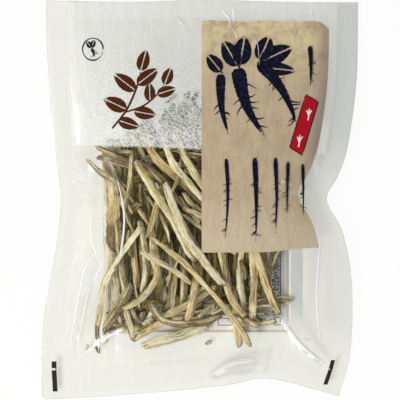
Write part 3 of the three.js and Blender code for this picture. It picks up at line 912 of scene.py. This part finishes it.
def make_front_film(pieces):
    """The front film: pulled taut over the strips, relaxed a little between them, creased, and painted with
    crease highlights.
    """
    s, t, plan = sheet_grid(FRONT_GRID)
    start = heights(surface_tree([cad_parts["front_film"]]), plan)
    start = np.where(start > 0, start, seal_height(s, t) + BACK_FLAT)
    floor = widened(heights(surface_tree(pieces), plan)) + CLEARANCE
    free = seal_room(s, t) > HELD_ROOM
    height = drape(start, floor, free, rounds=700, lift=0.0006)
    height = drape(height, floor - RELAXED, free, rounds=14, lift=0.0, over=1.0)
    glint_paint = np.zeros_like(height)
    for line, ridge, width, white, breadth in CREASES:
        distance, share = away_from(spline(line, CREASE_STEPS), plan)
        fade = smoothstep(0, 0.22, share) * smoothstep(1, 0.78, share)
        height += ridge * fade * np.exp(-distance / width) * smoothstep(-0.03, 0.02, seal_room(s, t))
        # Painted highlight: near-white colour is laid along each crease, standing in for its glint.
        glint_paint += white * fade * np.exp(-((distance / breadth) ** 2))
    material = front_film_material()
    return film_piece("front_film", material, (s, t, plan), height, np.clip(glint_paint, 0, 1))


def make_back_film():
    """The back film: flat inside, and curling up to the seals."""
    s, t, plan = sheet_grid(BACK_GRID)
    inside = smoothstep(0, BACK_CURL, seal_room(s, t))
    height = seal_height(s, t) * (1 - inside) + BACK_FLAT * inside
    material = back_film_material()
    return film_piece("back_film", material, (s, t, plan), height, np.zeros_like(height))


def film_shine(m):
    """The share of light that clear film mirrors: small face on, and growing towards grazing angles."""
    return m.plus(0.04, m.times(m.math("POWER", m.facing(), 5.0), 0.96))


def film_rim(m):
    """The film's cut edge, which shows as a faint line."""
    return m.times(m.step(m.attribute("rim"), 0.5, 0.2), 0.16)


def back_film_material():
    """Clear film with a faint haze."""
    m = Shader("clear_film")
    haze = m.noise(m.vector(m.attribute("flat_u"), m.times(m.attribute("flat_v"), 0.2)), 0.12)
    alpha = m.plus(film_shine(m), m.times(haze, 0.02), film_rim(m))
    m.principled(base_color=(216, 212, 150), metallic=0.85, roughness=0.16, alpha=alpha)
    return m.material


# The printed fields' edges on the flat film, in mm; rise and fall are how far they slope.
TAN = {"left": 0.8, "right": 65.4, "top": 90.4, "bottom": -26.3, "rise": 2.4}
WASHI = {"left": -69.0, "right": 69.4, "bottom": 27.0, "fall": 3.6}
BEYOND = 300  # mm, past every edge of the pouch


def tan_share(m, u, v):
    """Where the tan panel is: its foot rises, its top sways, and its top right corner is turned in."""
    foot = m.minus(v, m.times(m.step(u, 28, 68), TAN["rise"]))
    sway = m.times(m.minus(m.noise(m.vector(u, 0.0), 0.07, 1.0), 0.5), 3.0)
    corner = m.times(m.math("POWER", m.step(u, 57, 67), 2.0), 5.0)
    head = m.plus(v, sway, corner)
    panel = m.times(m.band(u, TAN["left"], TAN["right"]), m.band(foot, TAN["bottom"], BEYOND))
    return m.times(panel, m.band(head, -BEYOND, TAN["top"]))


def tan_colour(m, u, v, white):
    """The tan panel: papery, with a golden painted sheen and painted wrinkle shade at its top, painted shade
    at the right where it turns away, and painted crease highlights.
    """
    paper = m.noise(m.vector(u, v), 0.12, 4.0, 0.6)
    grain = m.noise(m.vector(u, m.times(v, 0.15)), 0.5, 3.0)
    crease = m.noise(m.vector(u, m.times(v, 0.12)), 0.28, 3.0, 0.6)
    dark, middle, light = (181, 159, 124), (194, 173, 141), (205, 186, 154)
    tone = m.plus(m.times(paper, 0.6), m.times(grain, 0.4))
    return m.layers(
        m.ramp(tone, (0.3, dark), (0.5, middle), (0.7, light)),
        # Painted sheen: lighter golden patches towards the top.
        (0.85, m.times(m.step(v, 50, 88), m.step(paper, 0.35, 0.6)), (226, 211, 160)),
        # Painted shade in the wrinkles at the top.
        (0.55, m.times(m.step(v, 62, 90), m.step(crease, 0.56, 0.68)), (172, 146, 124)),
        # Painted shade at the right, where the panel turns away from the light.
        (0.75, m.times(m.step(u, 55, 66), m.step(v, 5, 30)), (134, 121, 110)),
        (0.45, m.step(v, 8, -22), (216, 202, 174)),
        # Painted highlights along the creases, over the tan panel too.
        (0.75, white, (250, 246, 232)),
    )


def washi_share(m, u, v, speck):
    """Where the white ground is, down to a ragged edge that falls to the right."""
    ragged = m.plus(v, m.times(m.minus(speck, 0.5), 5.0), m.times(m.step(u, -60, 66), WASHI["fall"]))
    sides = m.band(u, WASHI["left"], WASHI["right"])
    return m.times(sides, m.band(ragged, WASHI["bottom"], BEYOND, 0.5))


def washi_fibre(m, u, v, speck, streaks):
    """How dense the white ground is: even with soft streaks, but full of fibres over the strips."""
    place = m.vector(u, v)
    warp = m.noise(place, 0.35, 2.0)
    shift = m.vector(m.times(warp, 5.0), m.times(warp, -4.0))
    warped = m.node("VectorMath", {0: place, 1: shift}, operation="ADD").outputs[0]
    cells = m.node("TexVoronoi", {"Vector": warped, "Scale": 0.55}, feature="DISTANCE_TO_EDGE")
    threads = m.step(cells.outputs["Distance"], 0.2, 0.02)
    cloud = m.noise(place, 0.16, 3.0)
    fibre = m.plus(m.times(threads, 0.3), m.plus(m.times(speck, 0.8), m.times(cloud, 0.45)))
    near = m.times(m.step(v, 78, 56), m.times(m.step(u, -66, -48), m.step(u, 55, 35)))
    even = m.plus(0.45, m.times(m.step(streaks, 0.35, 0.7), 0.35))
    return m.plus(m.times(m.step(fibre, 0.42, 0.95), near), m.times(even, m.minus(1.0, near)))


def washi_colour(m, u, v, fibre, far):
    """The white ground, with painted shade where it lies over the strips and bluish painted shade at the
    right.
    """
    # Painted shade: the ground is greyed towards and over the strips.
    painted_pile_shade = m.times(m.step(u, -74, -10), m.plus(0.6, m.times(m.step(v, 85, 45), 0.4)), m.step(v, 33, 44))
    return m.layers(
        m.ramp(fibre, (0.0, (232, 234, 227)), (1.0, (245, 246, 240))),
        (m.minus(0.52, m.times(fibre, 0.2)), painted_pile_shade, (160, 164, 158)),
        # Bluish painted shade at the right side.
        (0.15, far, (178, 184, 186)),
    )


def mark_share(m, u, v):
    """Where the two registration marks are; the left one leans at its foot and has a notch."""
    leaning = m.minus(u, m.times(m.most(m.minus(-86.0, v), 0.0), 0.055))
    left = m.times(m.band(leaning, -75.1, -72.6), m.band(v, -96.8, -81.5))
    right = m.times(m.band(u, 71.2, 73.2), m.band(v, -93.3, -80.8))
    notch = m.times(m.band(u, -75.6, -73.2), m.band(v, -86.0, -85.0))
    return m.times(m.most(left, right), m.minus(1.0, notch))


def film_haze_and_shade(m, streaks, far):
    """How milky the film is in faint streaks, with painted shade at the right side and a painted shadow
    beside the label.
    """
    place = m.node("SeparateXYZ", {0: m.place()})
    across = m.band(place.outputs["X"], 0.0455, 0.0517, 0.0006)
    shadow = m.times(across, m.band(place.outputs["Y"], -0.06, -0.02, 0.012))
    faint = m.times(m.step(streaks, 0.4, 0.7), 0.016)
    return m.plus(faint, m.times(far, 0.4), m.times(shadow, 0.5))


def front_film_material():
    """Clear film, printed with an opaque tan panel and a translucent white paper-like ground, with painted
    shade and painted crease highlights.
    """
    m = Shader("printed_film")
    u, v, white = (m.attribute(key) for key in ("flat_u", "flat_v", "white"))
    speck = m.noise(m.vector(u, v), 1.9, 4.0, 0.7)
    streaks = m.noise(m.vector(u, m.times(v, 0.06)), 0.3, 3.0, 0.6)
    # Painted shade along the film's right side, stronger higher up, greying the film and the white ground.
    far = m.times(m.step(u, 42, 68), m.plus(0.35, m.times(m.step(v, -10, 40), 0.65)), m.step(v, -86, -58))
    tan, washi, marks = tan_share(m, u, v), washi_share(m, u, v, speck), mark_share(m, u, v)
    fibre = washi_fibre(m, u, v, speck, streaks)
    # haze holds the milky streaks together with the painted shade and the painted shadow.
    shine, haze = film_shine(m), film_haze_and_shade(m, streaks, far)
    haze_and_shade = m.math("DIVIDE", haze, m.plus(haze, shine))
    over_pile = m.times(m.band(u, -48, 44, 3.0), m.band(v, -66, 60, 3.0))

    colour = m.mix(over_pile, (236, 235, 222), (214, 210, 144))
    # Grey-blue for the milky streaks, the painted shade and the painted shadow.
    colour = m.mix(haze_and_shade, colour, (172, 178, 182))
    colour = m.mix(washi, colour, washi_colour(m, u, v, fibre, far))
    # Painted highlights: the crease glints are laid on as near-white colour, made nearly opaque in clear
    # below.
    colour = m.mix(m.times(white, m.minus(1.0, washi)), colour, (250, 250, 248))
    colour = m.mix(tan, colour, tan_colour(m, u, v, white))
    colour = m.mix(marks, colour, (6, 6, 16))
    clear = m.plus(shine, haze, m.times(white, 0.88), film_rim(m))
    alpha = m.most(clear, m.times(washi, m.plus(0.23, m.times(fibre, 0.57))), tan, marks)
    printed = m.most(washi, tan, marks, white, haze_and_shade)
    m.principled(base_color=colour, alpha=m.math("MINIMUM", alpha, 1.0), metallic=m.minus(1.0, printed))
    crumple = m.noise(m.vector(u, m.times(v, 0.35)), 0.22, 3.0, 0.5)
    m.principled(roughness=0.2, coat_weight=1.0, coat_roughness=0.08, normal=m.bump(crumple, 0.5, 0.0012))
    return m.material


front_film = make_front_film(strips)
make_back_film()


# ---------- the back label ----------
TABLE = (-43.0, 41.0, -58.0, 24.0)  # the label's ruled table, in mm: west, east, south and north
LINE_PITCH = 2.05  # mm from one row of bars to the next


def label_material():
    """White paper with plain blue rules, a border and rows of bars; painted light brightens its foot and left
    side, and painted shade greys it higher up, under the pile.
    """
    m = Shader("label_paper")
    place = m.node("VectorMath", {0: m.place(), 1: (1 / MM,) * 3}, operation="MULTIPLY").outputs[0]
    parts = m.node("SeparateXYZ", {0: place})
    x, y = parts.outputs["X"], parts.outputs["Y"]

    def rule(value, every, offset, thick):
        away = m.math("PINGPONG", m.minus(value, offset), every / 2)
        return m.step(away, thick / 2 + 0.05, thick / 2 - 0.05)

    def area(west, east, south, north):
        return m.times(m.band(x, west, east, 0.05), m.band(y, south, north, 0.05))

    def frame_line(west, east, south, north, thick):
        inner = area(west + thick, east - thick, south + thick, north - thick)
        return m.times(area(west, east, south, north), m.minus(1.0, inner))

    rules = m.times(area(*TABLE), m.most(rule(y, 8.2, 24.0, 0.35), m.band(x, -18.2, -17.8, 0.05)))
    boxes = m.most(frame_line(9.0, 17.0, -63.6, -59.8, 0.4), frame_line(37.2, 41.0, -63.4, -59.4, 0.4))
    row = m.math("FLOOR", m.math("DIVIDE", y, LINE_PITCH))
    length = m.noise(m.vector(0.0, m.times(row, 7.3)), 1.0, 0.0)
    short = m.math("LESS_THAN", x, m.times(m.minus(length, 0.1), 52.0))
    words = m.step(m.noise(m.vector(x, m.times(row, 3.1)), 1.4, 1.0), 0.42, 0.47)
    bars = m.times(rule(y, LINE_PITCH, 1.0, 0.75), short, words, area(-16.0, 34.0, -57.0, 23.0))
    blots = m.step(m.noise(m.vector(m.times(x, 1.2), y), 0.85, 1.0), 0.46, 0.53)
    cells = m.times(blots, m.most(area(36.4, 40.0, -57.0, 23.0), area(28.6, 36.4, -62.8, -60.0)))
    ink = m.most(rules, frame_line(*TABLE, 0.6), boxes, m.times(bars, 0.75), cells)
    fibre = m.noise(place, 0.6, 5.0, 0.7)
    colour = m.layers(
        m.ramp(fibre, (0.3, (224, 224, 218)), (0.7, (242, 241, 236))),
        # Painted light: the paper is brightened near its foot.
        (0.8, m.step(y, -58.0, -62.0), (255, 255, 250)),
        (0.75, frame_line(-51.0, 45.0, -67.0, 33.0, 1.2), (212, 190, 172)),
        (0.9, ink, (52, 66, 112)),
        # Painted shade: greyer higher up, under the pile and the tan panel.
        (0.16, m.step(y, -52.0, -34.0), (120, 124, 132)),
        # Painted light: a warm cream brightening at the left side.
        (0.7, m.step(x, -40.0, -50.0), (255, 253, 236)),
    )
    m.principled(base_color=colour, roughness=0.65, normal=m.bump(fibre, 0.3, 0.0001))
    return m.material


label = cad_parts["back_label"]
label.data.materials.clear()
label.data.materials.append(label_material())


# ---------- what is printed on the front ----------
INK_LIFT = 0.1  # mm that ink stands off the film, so that it never cuts through it
STROKE_STEP = 0.5  # mm between the points along a stroke
STROKE_COLUMNS = 7  # points across a stroke
THINNEST = 0.04  # mm, the least half width of a stroke
STACKED = 0.004  # mm that each stroke lies above the one before


def ribbons(tree, strokes, rng, rough=0.06, lift=0.0, ridge=0.0):
    """Thin shapes that follow the film, flat or ridged. Each stroke is rows of x, y and half width."""
    surfaces = []
    across = np.linspace(-1, 1, STROKE_COLUMNS)
    for order, stroke in enumerate(strokes):
        length = length_of(stroke, 2)
        rows = spline(stroke, max(6, round(length / STROKE_STEP)))
        along = np.linspace(0, length, len(rows))
        side = sideways(rows)
        left, right = (1 + rough * wave(rng, along, wavelength)[:, None] for wavelength in (2.3, 2.9))
        reach = np.maximum(rows[:, 2], THINNEST)[:, None] * np.where(across < 0, left, right) * across
        plan = rows[:, None, :2] + side[:, None] * reach[..., None]
        z = heights(tree, plan) + INK_LIFT + lift + STACKED * order + ridge * (1 - across**2)
        shade = {
            "along": np.repeat(along + rng.uniform(0, 300), STROKE_COLUMNS),
            "across": reach.ravel(),
            "tail": np.repeat(along / length, STROKE_COLUMNS),
        }
        surfaces.append((lifted(plan, z), grid_faces(len(rows), STROKE_COLUMNS).tolist(), shade))
    return surfaces


def ink_material(name, colour, lighter):
    """Glossy printed ink with the streaks that a dry brush leaves."""
    m = Shader(name)
    along, across, tail = (m.attribute(key) for key in ("along", "across", "tail"))
    streak = m.noise(m.vector(m.times(along, 0.25), across), 2.4, 3.0, 0.6)
    cloud = m.noise(m.vector(along, across), 0.35, 2.0)
    worn = m.step(m.plus(m.times(streak, 0.5), m.times(cloud, 0.5)), 0.49, 0.7)
    dry = m.times(m.step(tail, 0.72, 1.0), 0.32)
    m.principled(base_color=m.mix(worn, colour, lighter), roughness=0.28)
    m.principled(alpha=m.step(m.minus(streak, dry), 0.2, 0.27), specular_ior_level=0.14)
    m.principled(coat_weight=0.12, coat_roughness=0.08)
    return m.material


def drawn_root(rng, start, end, width, bend, hairs):
    """Strokes of one drawn root: a tapering body and thin side hairs."""
    start, end = np.array(start, float), np.array(end, float)
    way = end - start
    side = np.array([-way[1], way[0]]) / np.linalg.norm(way)
    share = np.array([0, 0.08, 0.3, 0.55, 0.8, 1.0])
    taper = np.array([0.55, 1.0, 0.85, 0.6, 0.34, 0.08]) * width
    points = start + share[:, None] * way + (bend * np.sin(np.pi * share))[:, None] * side
    points[1:-1] += rng.uniform(-0.05, 0.05, (4, 1)) * width * side
    strokes = [np.column_stack([points, taper])]
    for _ in range(hairs):
        at = rng.uniform(0.2, 0.92)
        root = start + at * way + bend * np.sin(np.pi * at) * side
        reach = rng.uniform(0.8, 1.7) * (width * 0.9 + 0.9) * rng.choice([-1, 1])
        tip = root + reach * side + rng.uniform(0.2, 0.9) * abs(reach) * way / np.linalg.norm(way)
        middle = 0.5 * (root + tip) + rng.uniform(-0.2, 0.2, 2) * abs(reach)
        thick = max(0.16, 0.09 * width + 0.1)
        strokes.append(np.column_stack([[root, middle, tip], [thick, thick * 0.8, 0.05]]))
    return strokes


def drawn_leaf(base, tip, width, gap, stem=0.0):
    """Strokes of one drawn leaf: two halves with the vein left open between them, and its stem."""
    base, tip = np.array(base, float), np.array(tip, float)
    way = tip - base
    side = np.array([-way[1], way[0]]) / np.linalg.norm(way)
    share = np.linspace(0, 1, 9)
    half = width * 0.5 * np.sin(np.pi * share**0.8) ** 0.85
    strokes = []
    for turn in (-1, 1):
        middle = base + share[:, None] * way + (turn * (gap + half))[:, None] * side
        strokes.append(np.column_stack([middle, np.maximum(half, 0.05)]))
    if stem:
        line = [base - stem * way, base - 0.5 * stem * way, base + 0.1 * way]
        strokes.append(np.column_stack([line, [0.35, 0.3, 0.2]]))
    return strokes


# Big roots: head, tip, half width, bend and how many hairs. Leaves: base, tip and width.
BIG_ROOTS = [
    ((19, 66), (33, 31.5), 3.7, -3.0, 11),
    ((29.5, 69), (48.5, 37.5), 3.1, 3.0, 10),
    ((10.5, 63), (14.5, 32), 2.4, -1.8, 8),
]
BIG_LEAVES = [
    ((19, 67.5), (11.5, 80), 4.2), ((20, 68), (22.5, 82.5), 4.4), ((30, 70.5), (35, 82.5), 4.2),
    ((30.5, 69.5), (46.5, 77), 4.4), ((10.5, 64.5), (3.6, 73), 3.2), ((32, 66.5), (48, 65), 3.0),
]
# Small roots: x, top, bottom and half width.
SMALL_ROOTS = [
    (13, 20.5, -20, 1.0), (27.4, 21, -21, 1.35), (37.8, 21, -17, 1.05),
    (44.2, 19, -8.5, 0.85), (51.6, 18, -9.5, 0.8), (55.5, 77.5, 57.0, 1.2),
]
# The sprig: its stems as rows of x, y and half width, and its leaves.
SPRIG_STEMS = [
    [(-44, 36, 0.5), (-37, 45, 0.55), (-32, 56, 0.5), (-29.5, 66, 0.35)],
    [(-37.5, 44, 0.4), (-28, 47.5, 0.45), (-20.5, 54, 0.35), (-17.5, 59, 0.25)],
]
SPRIG_LEAVES = [
    ((-17.8, 58), (-14.5, 66.5), 2.6), ((-21.5, 53), (-12, 56), 2.6), ((-25, 49.5), (-25.5, 59), 2.6),
    ((-29.8, 65), (-27, 75.5), 3.0), ((-31.5, 58), (-21, 66), 3.2), ((-32.5, 55), (-43.5, 63.5), 3.4),
    ((-33, 44.5), (-22, 42.5), 3.0), ((-37, 45.5), (-48.5, 51), 3.4), ((-41, 40), (-30.5, 36.5), 2.8),
]
# The slanted tag: its corners from the top left round to the bottom left.
TAG = np.array([(53.2, 53.0), (59.6, 49.4), (51.4, 22.6), (45.0, 26.4)])
TAG_GRID = (60, 14)
SPROUT_PLACES = [(54.6, 42.0), (49.8, 28.6)]
SPROUT_TIPS = [(-1.2, 3.4), (0.5, 4.4), (2.0, 3.4), (-0.5, -2.2)]


def print_roots(tree, rng, ink):
    """Three big roots with leaves and six small bare ones, on the tan panel."""
    strokes = []
    for start, end, width, bend, hairs in BIG_ROOTS:
        strokes += drawn_root(rng, start, end, width, bend, hairs)
    for base, tip, width in BIG_LEAVES:
        strokes += drawn_leaf(base, tip, width, gap=0.35, stem=0.12)
    for x, top, bottom, width in SMALL_ROOTS:
        foot, bend = (x + rng.uniform(-1, 1), bottom), rng.uniform(-1.2, 1.2)
        strokes += drawn_root(rng, (x, top), foot, width, bend, int((top - bottom) / 2.6))
    joined_piece("print_navy", ribbons(tree, strokes, rng), ink)


def print_sprig(tree, rng):
    """A brown sprig on the white ground."""
    ink = ink_material("brown_ink", (72, 34, 12), (104, 58, 28))
    strokes = list(SPRIG_STEMS)
    for base, tip, width in SPRIG_LEAVES:
        strokes += drawn_leaf(base, tip, width, gap=0.22)
    joined_piece("print_brown", ribbons(tree, strokes, rng, rough=0.05), ink)


def print_tag(tree):
    """A plain red tag."""
    ink = ink_material("red_ink", (176, 10, 30), (200, 22, 44))
    share = np.linspace(0, 1, TAG_GRID[0])[:, None]
    across = np.linspace(0, 1, TAG_GRID[1])[None, :, None]
    left = TAG[0] * (1 - share) + TAG[3] * share
    right = TAG[1] * (1 - share) + TAG[2] * share
    plan = left[:, None] * (1 - across) + right[:, None] * across
    z = heights(tree, plan) + INK_LIFT
    shade = {"along": plan[..., 1].ravel(), "across": plan[..., 0].ravel(), "tail": np.zeros(z.size)}
    surface = lifted(plan, z), grid_faces(*TAG_GRID).tolist(), shade
    joined_piece("print_red_tag", [surface], ink)


def print_sprouts(tree, rng):
    """White sprouts on the tag."""
    ink = ink_material("white_ink", (238, 236, 232), (250, 250, 248))
    strokes = []
    for x, y in SPROUT_PLACES:
        for dx, dy in SPROUT_TIPS:
            strokes.append([(x, y, 0.26), (x + 0.4 * dx, y + 0.6 * dy, 0.36), (x + dx, y + dy, 0.16)])
    joined_piece("print_tag_sprouts", ribbons(tree, strokes, rng, rough=0.05, lift=0.08), ink)


def print_ring(tree, rng):
    """A small black ring with a root in it."""
    ink = ink_material("black_ink", (24, 22, 26), (70, 66, 70))
    turn = np.linspace(0, 2 * np.pi, 25)
    x, y, half_width = -54 + 5.2 * np.cos(turn), 76 + 5.6 * np.sin(turn), 0.3 + 0.08 * np.sin(3 * turn)
    strokes = [np.column_stack([x, y, half_width])]
    strokes += drawn_root(rng, (-54.6, 76.4), (-53.2, 71.6), 0.9, 0.2, 4)
    for tip in [(-57.2, 80.0), (-53.2, 80.8)]:
        strokes += drawn_leaf((-54.7, 76.8), tip, 1.3, gap=0.14)
    joined_piece("print_black", ribbons(tree, strokes, rng), ink)


def print_tag_outline(tree, rng, ink):
    """A line round the tag."""
    strokes = []
    for corner, following in zip(TAG, np.roll(TAG, -1, axis=0)):
        line = [corner, 0.5 * (corner + following), following]
        strokes.append(np.column_stack([line, [0.28, 0.28, 0.28]]))
    joined_piece("print_tag_outline", ribbons(tree, strokes, rng, rough=0.03), ink)


def fold_material():
    """Film pinched double, near white along the fold as a painted highlight, and less so at its sides."""
    m = Shader("pinched_film")
    along, across = m.attribute("along"), m.attribute("across")
    patchy = m.noise(m.vector(m.times(along, 0.3), 0.0), 0.9, 2.0)
    solid = m.step(m.math("ABSOLUTE", across), 0.5, 0.12)
    alpha = m.times(m.plus(0.55, m.times(solid, 0.4)), m.step(patchy, 0.15, 0.36))
    m.principled(base_color=m.mix(patchy, (246, 246, 242), (255, 255, 253)))
    m.principled(roughness=0.3, alpha=alpha)
    return m.material


def make_prints(film):
    """What is printed on the front film, each ink a piece of its own, and the folds pinched in it."""
    tree = surface_tree([film])
    rng = np.random.default_rng(SEEDS["prints"])
    navy = ink_material("navy_ink", (6, 7, 24), (40, 50, 106))
    print_roots(tree, rng, navy)
    print_sprig(tree, rng)
    print_tag(tree)
    print_sprouts(tree, rng)
    print_ring(tree, rng)
    print_tag_outline(tree, rng, navy)
    # The folds are raised ribbons of film whose near-white colour is a painted highlight.
    folds = ribbons(tree, FOLDS, np.random.default_rng(SEEDS["folds"]), rough=0.12, ridge=0.25)
    joined_piece("pouch_front_folds", folds, fold_material())


make_prints(front_film)


# ---------- floor, lights and camera ----------
def floor_material():
    """A pale floor that looks white to the camera; behind clear film it keeps more of its own shading."""
    m = Shader("floor")
    path = m.node("LightPath").outputs
    seen = m.most(path["Is Camera Ray"], path["Is Glossy Ray"], path["Is Transmission Ray"])
    behind = m.math("GREATER_THAN", path["Transparent Depth"], 0.5)
    m.principled(base_color=(243, 243, 240), roughness=0.9)
    glow = m.node("Emission", {"Strength": 1.0})
    m.set(glow.inputs["Color"], m.mix(behind, (255, 255, 255), (254, 254, 243)))
    share = m.times(seen, m.minus(0.9, m.times(behind, 0.402)))
    both = m.node("MixShader", {0: share, 1: m.surface.outputs[0], 2: glow.outputs[0]})
    m.set(m.tree.nodes["Material Output"].inputs["Surface"], both.outputs[0])
    return m.material


def make_floor():
    half, drop = 8.0, 0.00005
    corners = [(-half, -half, -drop), (half, -half, -drop), (half, half, -drop), (-half, half, -drop)]
    mesh = bpy.data.meshes.new("floor")
    mesh.from_pydata(corners, [], [(0, 1, 2, 3)])
    mesh.materials.append(floor_material())
    floor = bpy.data.objects.new("floor", mesh)
    bpy.context.scene.collection.objects.link(floor)


# Each lamp's place and size in metres, and its power in watts; all of them aim at the pouch's middle.
LAMPS = {
    "lamp_main": ((-0.7, -0.62, 0.85), (0.4, 0.35), 8.95),
    "lamp_low": ((-0.43, -0.93, 0.73), (0.6, 0.3), 2.2),
    "lamp_top": ((-0.1, 1.0, 0.68), (0.9, 0.1), 2.8),
    "lamp_left": ((-0.85, 0.1, 0.9), (0.12, 0.9), 2.0),
    "lamp_right": ((1.05, -0.1, 0.45), (0.25, 0.5), 1.2),
}
WORLD_LIGHT = 0.31


def make_lights():
    """Soft light all round, and five lamps whose reflections draw the film's creases."""
    world = bpy.data.worlds.new("studio")
    world.use_nodes = True
    background = world.node_tree.nodes["Background"]
    background.inputs["Color"].default_value = (1, 1, 1, 1)
    background.inputs["Strength"].default_value = WORLD_LIGHT
    bpy.context.scene.world = world
    for name, (place, size, power) in LAMPS.items():
        light = bpy.data.lights.new(name, "AREA")
        light.shape = "RECTANGLE"
        light.size, light.size_y = size
        light.energy = power
        lamp = bpy.data.objects.new(name, light)
        lamp.location = place
        lamp.rotation_euler = (-Vector(place)).to_track_quat("-Z", "Y").to_euler()
        bpy.context.scene.collection.objects.link(lamp)


SHOWN_WIDTH = 0.202  # metres across the picture, at the camera's focus height
FOCUS_HEIGHT = 0.004


def make_camera():
    data = bpy.data.cameras.new("camera")
    data.lens = 250
    data.sensor_width = 36
    camera = bpy.data.objects.new("camera", data)
    camera.location = (0, 0, SHOWN_WIDTH * data.lens / data.sensor_width + FOCUS_HEIGHT)
    bpy.context.scene.collection.objects.link(camera)
    bpy.context.scene.camera = camera


make_floor()
make_lights()
make_camera()
bpy.context.scene.view_settings.view_transform = "Standard"
